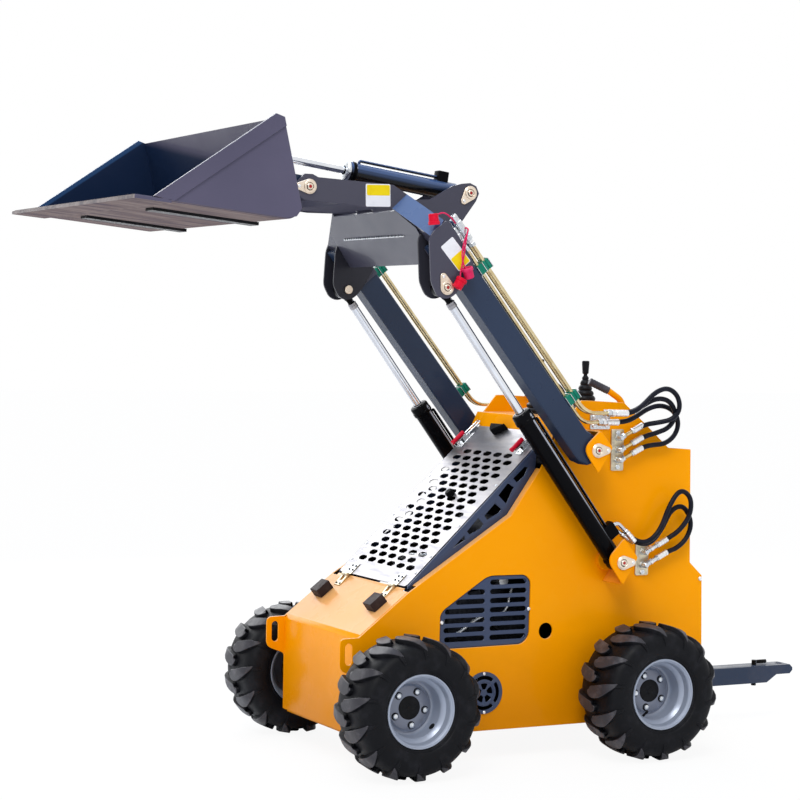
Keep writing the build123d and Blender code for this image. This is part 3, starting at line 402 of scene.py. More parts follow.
# %% Bucket paint: painted shade inside
paint = bucket_paint
across = paint.part(paint.place, "X")
in_side = paint.mask(paint.math("MULTIPLY", across, paint.facing("X")), -0.3, -0.4)
in_floor = paint.mask(paint.facing("Z"), 0.75, 0.85)
tilted = paint.math("ADD", paint.height(), paint.math("MULTIPLY", across, 0.165))
in_back = paint.both(paint.mask(paint.facing("Y"), -0.8, -0.9), paint.mask(tilted, 1.967, 1.943))
# painted shade: dark blue on the inner faces of the sides, on the floor, and on the back wall below a tilted
# line
paint.over(paint.either(in_back, paint.either(in_side, in_floor)), srgb(22, 38, 66))
# painted highlight on the inner face's edge: up to 14 mm from the line between (y, z) = (-1.348, 1.796) and
# (-0.966, 2.056)
from_edge = paint.along(paint.place, (0.0, 0.563, -0.827))
paint.over(paint.both(in_side, paint.mask(from_edge, -2.2282, -2.2322)), srgb(46, 78, 120))
print("bucket paint is blue inside")

# %% Bucket paint: worn steel below and on the lip
flat_up = paint.within(paint.facing("X"), 0.5)
lip = paint.both(flat_up, paint.mask(paint.part(paint.place, "Y"), -1.286, -1.296))
under = paint.mask(paint.facing("Z"), -0.7, -0.8)
streaks = paint.noise(7.0, 6.0, 0.6, paint.stretched((3.0, 0.6, 1.0)))
scuffed = paint.both(paint.either(lip, under), paint.mask(streaks, 0.30, 0.52, 0.55, 1.0))
steel = paint.blend(paint.mask(streaks, 0.35, 0.65), srgb(104, 92, 90), srgb(134, 122, 120))
paint.over(scuffed, steel)
paint.set("Specular IOR Level", paint.mask(under, 0.0, 1.0, 0.5, 0.0))
paint.set("Coat Weight", paint.mask(under, 0.0, 1.0, 0.3, 0.0))
dulled = paint.math("MULTIPLY", under, 0.95)
paint.set("Roughness", paint.either(paint.fed("Roughness"), dulled))
print("the lip is bare steel in front of y = -1.29 m")

# %% [markdown]
# ## Surfaces from numbers
#
# Most pieces are one of four shapes: a profile turned about an axis, a ring carried along a path, a
# flat sheet cut to an outline, or a free grid. Each is a formula over two parameters, so numpy can
# work out all points at once. A shell is kept as its points in millimetres and its faces, and several
# shells can go into one piece. When the mesh is made, points that coincide are merged, which closes
# seams and poles, and the normals of the closed shells are turned outwards.

# %% Grids, turned shapes, swept rings


def skin(grid, wrap_u=False, wrap_v=False):
    """Four-sided faces of a grid of points: (i, j) is joined with (i+1, j), (i+1, j+1) and (i, j+1)."""
    rows, columns = grid.shape[:2]
    i = np.arange(rows if wrap_u else rows - 1)[:, None]
    j = np.arange(columns if wrap_v else columns - 1)[None, :]
    down, across = (i + 1) % rows, (j + 1) % columns
    quads = np.stack([i * columns + j, down * columns + j, down * columns + across, i * columns + across], -1)
    return grid.reshape(-1, 3), [quads.reshape(-1, 4)]


def cross_axes(direction):
    """Two directions at right angles to the given one."""
    d = unit(direction)
    helper = (1.0, 0.0, 0.0) if abs(d[0]) < 0.9 else (0.0, 0.0, 1.0)
    e = unit(np.cross(helper, d))
    return d, e, np.cross(d, e)


def turned(profile, base, direction, sides=48, closed=False):
    """A profile of (distance along the axis, radius) points turned about the axis:
    base + along * d + radius * (cos angle * e + sin angle * f). Ends on the axis close as poles."""
    d, e, f = cross_axes(direction)
    along, radius = np.asarray(profile, float).T
    angle = np.linspace(0.0, 2.0 * np.pi, sides, endpoint=False)
    spokes = np.cos(angle)[:, None] * e + np.sin(angle)[:, None] * f
    grid = np.asarray(base, float) + along[:, None, None] * d + radius[:, None, None] * spokes
    return skin(grid, wrap_u=closed, wrap_v=True)


def swept(path, radius, sides=16, reference=(1.0, 0.0, 0.0)):
    """A ring of the given radius carried along a path: point = path + radius * (cos * e + sin * f),
    where e is the reference made square to the path and f is square to both. The ends are capped."""
    path = np.asarray(path, float)
    t = unit(np.gradient(path, axis=0))
    r = np.asarray(reference, float)
    e = unit(r - (t @ r)[:, None] * t)
    f = np.cross(t, e)
    angle = np.linspace(0.0, 2.0 * np.pi, sides, endpoint=False)
    radius = np.broadcast_to(np.asarray(radius, float), len(path))[:, None, None]
    rings = path[:, None] + radius * (np.cos(angle)[None, :, None] * e[:, None]
                                      + np.sin(angle)[None, :, None] * f[:, None])
    first = np.broadcast_to(path[:1, None], (1, sides, 3))
    last = np.broadcast_to(path[-1:, None], (1, sides, 3))
    return skin(np.concatenate([first, rings, last]), wrap_v=True)


def bar(a, b, radius, sides=24, edge=0.8):
    """A round bar from a to b with its edges broken by edge millimetres."""
    length = float(np.linalg.norm(np.subtract(b, a)))
    profile = [(0, 0), (0, radius - edge), (edge, radius), (length - edge, radius), (length, radius - edge),
               (length, 0)]
    return turned(profile, a, np.subtract(b, a), sides)


ring_points, ring_faces = turned([(0, 1), (1, 1)], (0, 0, 0), (1, 0, 0))
print("a turned band of", len(ring_points), "points has", len(ring_faces[0]), "faces")

# %% Flat sheets cut to an outline


def eased_corners(before, corner, after, radius, steps):
    """Each corner replaced by the curve (1-t)^2 a + 2t(1-t) corner + t^2 b, where a and b lie up to
    radius away from the corner, towards its neighbours."""
    reach = np.minimum(radius, 0.48 * np.minimum(np.linalg.norm(corner - before, axis=1),
                                                 np.linalg.norm(after - corner, axis=1)))[:, None]
    a = corner + unit(before - corner) * reach
    b = corner + unit(after - corner) * reach
    t = np.linspace(0.0, 1.0, steps)[None, :, None]
    curve = (1 - t) ** 2 * a[:, None] + 2 * t * (1 - t) * corner[:, None] + t ** 2 * b[:, None]
    return curve.reshape(-1, corner.shape[1])


def rounded(outline, radius, steps=5):
    """A closed outline with all its corners eased."""
    p = np.asarray(outline, float)
    return eased_corners(np.roll(p, 1, axis=0), p, np.roll(p, -1, axis=0), radius, steps)


def rectangle(u0, u1, v0, v1):
    """The four corners of an upright rectangle."""
    return [(u0, v0), (u1, v0), (u1, v1), (u0, v1)]


def circle(u, v, radius, sides=24):
    """Points of a round outline."""
    angle = np.linspace(0.0, 2.0 * np.pi, sides, endpoint=False)
    return np.stack([u + radius * np.cos(angle), v + radius * np.sin(angle)], -1)


def slot_hole(u, v, length, width, steps=7):
    """Points of an oval hole: two half circles, length over all, along u."""
    angle = np.linspace(-np.pi / 2, np.pi / 2, steps)
    half = length / 2 - width / 2
    right = np.stack([u + half + width / 2 * np.cos(angle), v + width / 2 * np.sin(angle)], -1)
    return np.concatenate([right, 2 * np.array([u, v]) - right])


def inset_loop(loop, edge):
    """A closed outline moved inwards by edge: each corner moves by 2 (n1 + n2) / |n1 + n2|^2, with n1
    and n2 the inward directions of its two sides."""
    ahead = unit(np.roll(loop, -1, axis=0) - loop)
    inward = np.stack([-ahead[:, 1], ahead[:, 0]], -1)
    corner = inward + np.roll(inward, 1, axis=0)
    return loop + edge * corner / np.maximum(np.sum(corner * corner, axis=1, keepdims=True) / 2.0, 0.5)


def sheet_cut(outlines, origin, across, up, low, high, edge=0.6):
    """A flat sheet: the first outline is its edge and the others are holes. Each wall has four rings:
    inset by edge at the lower face, full at low + edge, full at high - edge, and inset at the upper
    face, so the cut edges are broken. The faces are filled with triangles."""
    across, up = unit(across), unit(up)
    normal = np.cross(across, up)
    points, faces, flat = [], [], []
    count = 0
    for k, loop in enumerate(outlines):
        loop = np.asarray(loop, float)
        area = 0.5 * np.sum(loop[:, 0] * np.roll(loop[:, 1], -1) - np.roll(loop[:, 0], -1) * loop[:, 1])
        if (area > 0) != (k == 0):
            loop = loop[::-1]
        inset = inset_loop(loop, edge)
        rings = [(inset, low), (loop, low + edge), (loop, high - edge), (inset, high)]
        grid = np.stack([np.asarray(origin, float) + ring[:, :1] * across + ring[:, 1:] * up + depth * normal
                         for ring, depth in rings])
        ring_points, quads = skin(grid, wrap_v=True)
        points.append(ring_points)
        faces.append(quads[0] + count)
        flat.append((inset, count, len(loop)))
        count += len(ring_points)
    triangles = np.array(tessellate_polygon([[Vector((u, v, 0.0)) for u, v in ring] for ring, _, _ in flat]))
    lower = np.concatenate([np.arange(size) + first for _, first, size in flat])
    upper = np.concatenate([np.arange(size) + first + 3 * size for _, first, size in flat])
    return np.concatenate(points), [np.concatenate(faces), lower[triangles], upper[triangles]]


def side_sheet(outlines, x0, x1, side=1, edge=0.6):
    """A sheet in the Y-Z plane between two x values, mirrored to the other side by side -1."""
    low, high = sorted((side * x0, side * x1))
    return sheet_cut(outlines, (0, 0, 0), (0, 1, 0), (0, 0, 1), low, high, edge)


def block(x0, x1, y0, y1, z0, z1, edge=1.0):
    """A box with its edges broken."""
    return side_sheet([rectangle(y0, y1, z0, z1)], x0, x1, 1, edge)


def mirrored(shell):
    """The same shell on the machine's other side."""
    points, faces = shell
    return points * (-1.0, 1.0, 1.0), faces


trial = side_sheet([rectangle(0, 9, 0, 9), circle(4, 4, 2)], 0, 3)
print("a square sheet with one hole has", sum(len(faces) for faces in trial[1]), "faces")

# %% From shells to pieces


def piece(name, parts, body, replaces=(), crease=32.0):
    """Make one object from (shell, finish) pairs: merge coinciding points, turn the normals outwards,
    smooth what bends by less than crease degrees, and let it ride on a body of the frame. A piece given
    no body rides on none. A piece that bends between two bodies is given no body here."""
    points, faces, finish_of, finishes = [], [], [], []
    count = 0
    for (shell_points, shell_faces), finish in parts:
        if finish not in finishes:
            finishes.append(finish)
        for group in shell_faces:
            faces += (group + count).tolist()
            finish_of += [finishes.index(finish)] * len(group)
        points.append(metres(shell_points))
        count += len(shell_points)
    mesh = bpy.data.meshes.new(name)
    mesh.from_pydata(np.concatenate(points).tolist(), [], faces)
    mesh.polygons.foreach_set("material_index", finish_of)
    for finish in finishes:
        mesh.materials.append(finish.material)
    edit = bmesh.new()
    edit.from_mesh(mesh)
    bmesh.ops.remove_doubles(edit, verts=edit.verts, dist=1e-6)
    bmesh.ops.dissolve_degenerate(edit, edges=edit.edges, dist=1e-7)
    bmesh.ops.recalc_face_normals(edit, faces=edit.faces)
    edit.to_mesh(mesh)
    edit.free()
    mesh.shade_smooth()
    mesh.set_sharp_from_angle(angle=math.radians(crease))
    made = bpy.data.objects.new(name, mesh)
    scene.collection.objects.link(made)
    if body:
        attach(made, body)
    if replaces:
        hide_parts(*replaces)
    return made


def eased_copy(nodes, finish, width=1.0, sharp=30.0, wide=0.045):
    """A copy of CAD nodes with their edges rounded: merge the loose triangles, dissolve flat seams,
    and let a Bevel modifier round every edge that turns by more than sharp degrees. Faces wider than
    wide metres are plate and stay flat; the narrow ones are bends and are shaded smooth."""
    for node in nodes:
        source = frame["nodes"][node]
        mesh = source.data.copy()
        edit = bmesh.new()
        edit.from_mesh(mesh)
        bmesh.ops.remove_doubles(edit, verts=edit.verts, dist=1e-5)
        bmesh.ops.dissolve_limit(edit, angle_limit=math.radians(0.6), verts=edit.verts, edges=edit.edges)
        for face in edit.faces:
            face.smooth = face.calc_area() / max(side.calc_length() for side in face.edges) < wide
        edit.to_mesh(mesh)
        edit.free()
        mesh.materials.clear()
        mesh.materials.append(finish.material)
        mesh.polygons.foreach_set("material_index", [0] * len(mesh.polygons))
        made = bpy.data.objects.new(node + "_eased", mesh)
        scene.collection.objects.link(made)
        bevel = made.modifiers.new("rounded_edges", "BEVEL")
        bevel.width, bevel.segments = width / 1000.0, 2
        bevel.limit_method, bevel.angle_limit = "ANGLE", math.radians(sharp)
        bevel.harden_normals = True
        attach(made, source["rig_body"])
        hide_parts(node)


print("frame nodes to dress:", len(frame["nodes"]))

# %% [markdown]
# ## The nine hoses
#
# Hydraulic hoses are the loose, springy part of the machine: they leave the steel tubes and the lift
# cylinders, loop backwards and come down on the ports. Each one is a fixed length of stiff rubber, so
# its line has to be one smooth curve. We give the route's points to a NURBS spline, read the curve
# back as points and carry a ring along them.

# %% The hoses' routes and the ports they end on
HOSE_R = 8.5
PORT_X, UPPER_PORT_Y, LOWER_PORT_Y = 318.0, 410.0, 520.0
PORT_WAY = np.array([0.0, 0.9, 0.436])
PIPE_RUN = 52.0
PORTS = {"upper_a": (UPPER_PORT_Y, 1070.0), "upper_b": (UPPER_PORT_Y, 1029.0),
         "upper_c": (UPPER_PORT_Y, 994.0), "lower_d": (LOWER_PORT_Y, 679.0), "lower_e": (LOWER_PORT_Y, 634.0)}
HOSE_ROUTES = {
    "upper_a": [(385, 372, 1156), (385, 412, 1156), (384, 457, 1186), (382, 502, 1227), (380, 554, 1243),
                (376, 599, 1217), (371, 614, 1170), (362, 592, 1134), (342, 545, 1122)],
    "upper_b": [(365, 372, 1156), (365, 416, 1156), (362, 466, 1180), (359, 524, 1207), (355, 582, 1198),
                (349, 614, 1150), (340, 592, 1104), (326, 545, 1085)],
    "upper_c": [(345, 362, 1124), (345, 408, 1124), (338, 456, 1142), (331, 508, 1170), (326, 565, 1182),
                (322, 620, 1164), (320, 645, 1121), (319, 630, 1076), (318.5, 590, 1048), (318, 540, 1045)],
    "lower_d": [(350, 423, 749), (350, 447, 725), (351, 502, 712), (353, 554, 752), (354, 588, 838),
                (354, 632, 896), (352, 680, 868), (346, 684, 806), (336, 648, 752)],
    "lower_e": [(340, 420, 738), (340, 454, 718), (337, 522, 704), (332, 576, 756), (329, 613, 824),
                (326, 668, 838), (323, 706, 778), (321, 690, 724), (319, 650, 689)],
}


def port_tip(port):
    """Where the hose meets the port's pipe, PIPE_RUN from the port along PORT_WAY."""
    return np.array([PORT_X, *port]) + PIPE_RUN * PORT_WAY


def smooth_line(points):
    """Points of the NURBS curve that has these control points, in metres."""
    data = bpy.data.curves.new("route", "CURVE")
    data.dimensions = "3D"
    spline = data.splines.new("NURBS")
    spline.points.add(len(points) - 1)
    spline.points.foreach_set("co", np.c_[metres(points), np.ones(len(points))].ravel())
    spline.order_u = 3
    spline.use_endpoint_u = True
    spline.resolution_u = 14
    holder = bpy.data.objects.new("route", data)
    scene.collection.objects.link(holder)
    line = bpy.data.meshes.new_from_object(holder)
    found = np.zeros(len(line.vertices) * 3)
    line.vertices.foreach_get("co", found)
    bpy.data.objects.remove(holder)
    return found.reshape(-1, 3)


print("a hose's route has", len(HOSE_ROUTES["upper_a"]), "points and the two at its port")

# %% Hoses
for side, side_name in SIDES:
    for label, route in HOSE_ROUTES.items():
        if label == "upper_c" and side < 0:
            continue
        tip = port_tip(PORTS[label])
        points = np.array(route + [tuple(tip + 50.0 * PORT_WAY), tuple(tip)], float) * (side, 1.0, 1.0)
        line = smooth_line(points)
        shell = swept(line * 1000.0 - (0.0, SHIFT_Y, 0.0), HOSE_R, 16)
        node = "hose_" + label + "_" + side_name
        hose = piece("hydraulic_" + node, [(shell, hose_rubber)], None, [node], 60.0)
        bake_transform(hose)
        run = np.linalg.norm(np.diff(line, axis=0), axis=1).sum()
        print(node, "is", round(run * 1000), "mm long")

# %% [markdown]
# ## Light, floor and background
#
# The object stands in plain daylight from a wide bright sky, in front of white. A pale world gives the
# even fill, and one broad soft lamp from the upper front left gives the shapes their light and shade.
# The background is white for the camera and for reflections only, so it adds no light to the object.

# %% World and lamps
world = bpy.data.worlds.new("sky")
scene.world = world
world.use_nodes = True
sky_nodes, sky_links = world.node_tree.nodes, world.node_tree.links
fill = sky_nodes["Background"]
fill.inputs["Color"].default_value = srgb(236, 241, 250)
fill.inputs["Strength"].default_value = 0.62
seen = sky_nodes.new("ShaderNodeBackground")
seen.inputs["Color"].default_value = (1.0, 1.0, 1.0, 1.0)
seen.inputs["Strength"].default_value = 1.0
ray = sky_nodes.new("ShaderNodeLightPath")
shows = ray.outputs["Is Camera Ray"]
for kind in ("Is Glossy Ray", "Is Transmission Ray"):
    larger = sky_nodes.new("ShaderNodeMath")
    larger.operation = "MAXIMUM"
    sky_links.new(shows, larger.inputs[0])
    sky_links.new(ray.outputs[kind], larger.inputs[1])
    shows = larger.outputs[0]
sky_mix = sky_nodes.new("ShaderNodeMixShader")
for socket, output in enumerate((shows, fill.outputs[0], seen.outputs[0])):
    sky_links.new(output, sky_mix.inputs[socket])
sky_links.new(sky_mix.outputs[0], sky_nodes["World Output"].inputs["Surface"])
print("the sky lights the machine with strength", fill.inputs["Strength"].default_value)

# %% Lamps


def soft_lamp(name, place, target, size, power, tint):
    """A square area lamp at place, turned towards target and not seen itself."""
    data = bpy.data.lights.new(name, "AREA")
    data.size, data.energy, data.color = size, power, tint
    lamp = bpy.data.objects.new(name, data)
    scene.collection.objects.link(lamp)
    lamp.location = place
    lamp.rotation_euler = (Vector(target) - Vector(place)).to_track_quat("-Z", "Y").to_euler()
    lamp.visible_camera = False


sun = bpy.data.lights.new("sun_lamp", "SUN")
sun.energy, sun.angle, sun.color = 1.75, math.radians(28.0), (1.0, 0.985, 0.96)
sun_holder = bpy.data.objects.new("sun_lamp", sun)
scene.collection.objects.link(sun_holder)
SUN_WAY = Vector((-0.62, 0.52, -0.95))
sun_holder.rotation_euler = SUN_WAY.to_track_quat("-Z", "Y").to_euler()
soft_lamp("sky_panel", (-4.6, 0.2, 3.2), (0.0, -0.2, 0.9), 4.6, 190.0, (0.96, 0.98, 1.0))
soft_lamp("zenith_panel", (-0.6, -0.8, 5.2), (0.0, 0.0, 1.0), 3.0, 75.0, (0.62, 0.78, 1.0))

# %% [markdown]
# ## The floor
#
# The floor should vanish into the white background and still hold a soft shadow. A glowing floor would
# have none, and a lit one would be grey. So the camera sees a mix: mostly its own white, and a small
# share of the lit surface. All other rays see the plain lit floor.

# %% Floor
OWN_WHITE = 0.92
floor_mesh = bpy.data.meshes.new("studio_floor")
floor_mesh.from_pydata([(-40, -40, 0), (40, -40, 0), (40, 60, 0), (-40, 60, 0)], [], [(0, 1, 2, 3)])
floor = bpy.data.objects.new("studio_floor", floor_mesh)
scene.collection.objects.link(floor)
floor_finish = Finish("studio_floor", srgb(250, 250, 250), Roughness=0.95, Specular_IOR_Level=0.0)
lit = floor_finish.skin.outputs[0]
own_light = floor_finish.add("Emission", [("Color", (1.0, 1.0, 1.0, 1.0)), ("Strength", 1.0)]).outputs[0]
pale = floor_finish.add("MixShader", [(0, OWN_WHITE), (1, lit), (2, own_light)]).outputs[0]
camera_ray = floor_finish.add("LightPath").outputs["Is Camera Ray"]
shown = floor_finish.add("MixShader", [(0, camera_ray), (1, lit), (2, pale)]).outputs[0]
floor_finish.tree.links.new(shown, floor_finish.tree.nodes["Material Output"].inputs["Surface"])
floor_mesh.materials.append(floor_finish.material)
print("the floor is", round(floor.dimensions.x), "m wide")

# %% [markdown]
# ## Painted steelwork
#
# The body, the arms and the bucket are folded and welded plate. The CAD nodes already have the right
# shapes, but a real plate has a broken edge that catches a thin line of light. A Bevel modifier on a
# merged copy gives every edge that line, and the copy takes the node's place.

# %% Body and arm plates
eased_copy(["nose_sheet", "belly_pan", "back_plate", "console"], body_paint, 1.2)
eased_copy(["drawbar"], arm_paint, 1.4)
eased_copy(["cross_plate", "boom_frame", "tilt_lugs"], head_paint, 1.4)
eased_copy(["bucket_ears"], arm_paint, 1.2)
eased_copy(["hood_frame"], vent_paint, 0.8)
eased_copy(["tilt_barrel"], tilt_paint, 0.8)
eased_copy(["axle_motors", "engine_block"], dark_metal, 1.0)
eased_copy(["hinge_mounts", "hood_hinges"], plate_zinc, 0.4)
eased_copy(["drawbar_pin"], black_paint, 0.6)
eased_copy(["arm_stops"], stop_rubber, 1.5)

# %% [markdown]
# ## Tyres
#
# The machine stands on lugged traction tyres. Fourteen bars on each side of the centre line start
# round a little past it, sweep outwards with one straight and one bellied edge and come to a point on
# the shoulder, where a low rib runs on down the sidewall; the two rows are half a pitch apart. We could
# sculpt them, but a tyre is a map: one coordinate runs along the section from bead to bead, the other
# round the circumference, and a third stands up from the skin. A bar is a simple strip in that map, so
# its whole grid is worked out at once.

# %% The tyre's section
WHEEL_X = 447.0
CROWN = 213.5
HALF_SECTION = [(0, CROWN), (30, 213.2), (56, 211.8), (76, 208.2), (91, 201.0), (100.5, 190.0), (105, 176),
                (106.6, 160), (105.6, 146), (102.5, 134), (99.6, 130.6), (99.0, 127.6), (96.6, 126.4),
                (95.6, 122.6), (92, 119.5)]
WHEELS = {"front_left": (1, -AXLE_Y), "front_right": (-1, -AXLE_Y), "rear_left": (1, AXLE_Y),
          "rear_right": (-1, AXLE_Y)}


def smooth_through(points, per_step=6):
    """A smooth curve through all the points, Catmull and Rom's cubic: for each run, half of
    2 p1 + (p2 - p0) t + (2 p0 - 5 p1 + 4 p2 - p3) t^2 + (3 p1 - p0 - 3 p2 + p3) t^3."""
    p = np.asarray(points, float)
    p = np.concatenate([2 * p[:1] - p[1:2], p, 2 * p[-1:] - p[-2:-1]])
    a, b, c, d = (p[k:len(p) - 3 + k, None] for k in range(4))
    t = np.linspace(0.0, 1.0, per_step, endpoint=False)[None, :, None]
    run = 0.5 * (2 * b + (c - a) * t + (2 * a - 5 * b + 4 * c - d) * t ** 2
                 + (3 * b - a - 3 * c + d) * t ** 3)
    return np.concatenate([run.reshape(-1, p.shape[1]), p[-2:-1]])


outer_half = np.array(HALF_SECTION, float)
section = smooth_through(np.concatenate([outer_half[:0:-1] * (-1, 1), outer_half]), 4)
section_run = np.concatenate([[0.0], np.cumsum(np.linalg.norm(np.diff(section, axis=0), axis=1))])
section_run -= section_run[-1] / 2
section_out = unit(np.gradient(section, axis=0))[:, ::-1] * (-1, 1)
print("the section is", round(section_run[-1] * 2), "mm from bead to bead")

# %% The tread bars


def on_tyre(along, around, height):
    """A point of the tyre's map: the section at the run along, lifted by height along its normal, and
    turned by around / CROWN radians. Gives the lateral place, the radius and the angle."""
    place = [np.interp(along, section_run, column) for column in section.T]
    lift = [np.interp(along, section_run, column) for column in section_out.T]
    return place[0] + height * lift[0], place[1] + height * lift[1], around / CROWN


def wheel_point(lateral, radius, angle, side, axle):
    """Lateral place, radius and angle to a point; the angle goes from the front over the top."""
    return np.stack([side * (WHEEL_X + lateral), axle - radius * np.cos(angle),
                     AXLE_Z + radius * np.sin(angle)], -1)


def raised_strip(run, around, width, height, flare, phase, row, side, axle):
    """A strip standing on the tyre's skin: its middle line is around(run), and its section has a flat
    top with broken edges and walls that lean out by flare. Gives the whole grid of six rows."""
    slope = np.gradient(around, run)
    share = np.array([-0.5, -0.5, -0.5, 0.5, 0.5, 0.5])
    extra = np.array([-flare, 0.0, 0.4 * flare, -0.4 * flare, 0.0, flare])
    offset = width[:, None] * share + extra * np.minimum(width[:, None] / 12.0, 1.0)
    rise = np.stack([np.full_like(height, -4.0), height - 1.6, height, height, height - 1.6,
                     np.full_like(height, -4.0)], -1)
    length = np.sqrt(1.0 + slope ** 2)[:, None]
    lateral, radius, angle = on_tyre(run[:, None] - offset * slope[:, None] / length,
                                     around[:, None] + offset / length, rise)
    return wheel_point(row * lateral, radius, angle + phase, side, axle)


print("a bar stands on the skin at", [round(float(c), 1) for c in on_tyre(0.0, 0.0, 15.0)])

# %% One bar, its rib, and the carcass


def strip_shells(grid):
    """The strip's top, and its walls with both ends closed."""
    ends = [skin(np.stack([np.broadcast_to(ring.mean(axis=0), ring.shape), ring]), wrap_v=True)
            for ring in (grid[0], grid[-1])]
    return skin(grid[:, 1:5]), [skin(grid[:, [4, 5, 0, 1]])] + ends


def tread_bar(phase, row, side, axle):
    """One bar: its leading edge is around = 15 + 28 ((run + 14) / 120)^1.5 and its width swells from a
    round inner end and closes to a point at the shoulder."""
    run = np.array([-14, -13, -10.5, -7, -1, 8, 24, 42, 58, 72, 84, 94, 101, 106], float)
    width = np.array([8, 16, 24, 30, 35, 38, 39.5, 39, 35.5, 30, 23, 15.5, 9, 3.5], float)
    height = np.interp(run, [-14, -10, 70, 86, 97, 106], [13.6, 15.0, 14.8, 13.2, 9.0, 3.0])
    lead = 15.0 + 28.0 * ((run + 14.0) / 120.0) ** 1.5 - np.clip(-1.0 - run, 0.0, 13.0) ** 2 / 26.0
    return strip_shells(raised_strip(run, lead - width / 2, width, height, 4.0, phase, row, side, axle))


def side_rib(phase, row, side, axle):
    """The low rib that runs on from the bar's point down the sidewall."""
    run = np.array([88, 96, 104, 112, 121, 131, 142], float)
    around = 30.0 + 0.14 * (run - 88.0)
    width = np.array([10, 13, 14, 13, 12, 10, 7], float)
    height = np.array([3.0, 4.6, 5.0, 4.6, 3.8, 2.4, -1.0])
    return strip_shells(raised_strip(run, around, width, height, 3.0, phase, row, side, axle))


def carcass(side, axle):
    """The tyre without its bars: the section turned about the axle, closed under the rim."""
    ring = np.concatenate([section, [(88, 113), (84, 111), (-84, 111), (-88, 113)]])
    ring[:, 0] += WHEEL_X
    return turned(ring * (side, 1), (0, axle, AXLE_Z), (1, 0, 0), 112, closed=True)


print("the carcass has", len(carcass(1, -AXLE_Y)[0]), "points")

# %% Four tyres
BARS = 14
FIRST_BAR = {"front_left": 0.10, "front_right": 0.16, "rear_left": 0.05, "rear_right": 0.21}
tyre_black = moulded("tyre_black", srgb(12, 13, 17), srgb(30, 30, 35), 0.50, 500.0, 0.0005)
bar_face = moulded("tyre_bar_faces", srgb(54, 53, 58), srgb(88, 85, 90), 0.40, 300.0, 0.0005, 1.3)
for wheel, (side, axle) in WHEELS.items():
    parts = [(carcass(side, axle), tyre_black)]
    for k in range(BARS):
        for row in (1, -1):
            phase = FIRST_BAR[wheel] + 2 * math.pi * (k + (0.5 if row < 0 else 0.0)) / BARS
            top, rest = tread_bar(phase, row, side, axle)
            rib_top, rib_rest = side_rib(phase, row, side, axle)
            parts.append((top, bar_face))
            parts += [(shell, tyre_black) for shell in rest + [rib_top] + rib_rest]
    piece("lugged_tyre_" + wheel, parts, "wheel_" + wheel, ["tyre_" + wheel], 28.0)
print("each tyre has", 2 * BARS, "bars, one every", round(2 * math.pi * AXLE_Z / BARS), "mm on a side")

# %% [markdown]
# ## Rims
#
# Each rim is a pressed steel disc welded into a rolled barrel. Seen from outside it is a set of steps:
# lip, bead seat, drop centre, a groove, and the raised middle with five bolts round a black hub cap. A
# closed section turned about the axle gives all of it, and the bolts are small turned heads.

# %% Sections of the rim and of its small parts
RIM_SECTION = [(10, 0), (10, 38), (10, 68.5), (9.2, 70.4), (5, 73), (2.4, 77), (2.2, 81), (4.5, 85.6),
               (9, 88.6), (15, 89.8), (49, 91.0), (53, 93.0), (59, 98.4), (64, 103.4), (70, 104.6),
               (85, 106.0), (89.6, 108.8), (91.4, 111.6), (94.2, 113.2), (95, 115.4), (94.4, 117.6),
               (92, 118.5), (89, 117.6), (87, 113.6), (83, 110.4), (66, 107.6), (58, 103.0), (51, 95.4),
               (0, 94.2), (-51, 95.4), (-58, 103.0), (-66, 107.6), (-83, 110.4), (-87, 113.6),
               (-89, 117.6), (-92, 118.5), (-94.4, 117.6), (-95, 115.4), (-91, 111.2), (-85, 106.0),
               (-64, 103.4), (-53, 93.0), (-40, 91.0), (-2, 90.0), (-4, 70.0), (4, 66.0), (4, 0)]
HEAD = [(0, 0), (0, 9.4), (4.4, 9.4), (6.4, 8.2), (8.0, 5.6), (8.6, 2.6), (8.7, 0)]
WASHER = [(0, 0), (0, 12.4), (1.4, 12.4), (1.8, 11.8), (1.8, 0)]
CAP = [(-4, 0), (-4, 38), (0.2, 38), (1.8, 37), (2.6, 34.6), (2.6, 12), (1.2, 9.5), (0.6, 6), (0.6, 0)]
VALVE_HOLE = [(-3, 0), (-3, 11.5), (1.4, 11.5), (1.4, 0)]
VALVE = [(-6, 0), (-6, 7), (2, 6.4), (5, 4.2), (17, 3.8), (18, 4.6), (27, 4.6), (28, 3.8), (28, 0)]
BOLTS, BOLT_CIRCLE, DISC_FACE = 5, 56.0, 10.0
FIRST_BOLT = {"front_left": 62.0, "front_right": 20.0, "rear_left": 41.0, "rear_right": 5.0}
hub_black = moulded("hub_cap_black", srgb(14, 14, 17), srgb(34, 34, 38), 0.36)
print("points of the rim's section:", len(RIM_SECTION))

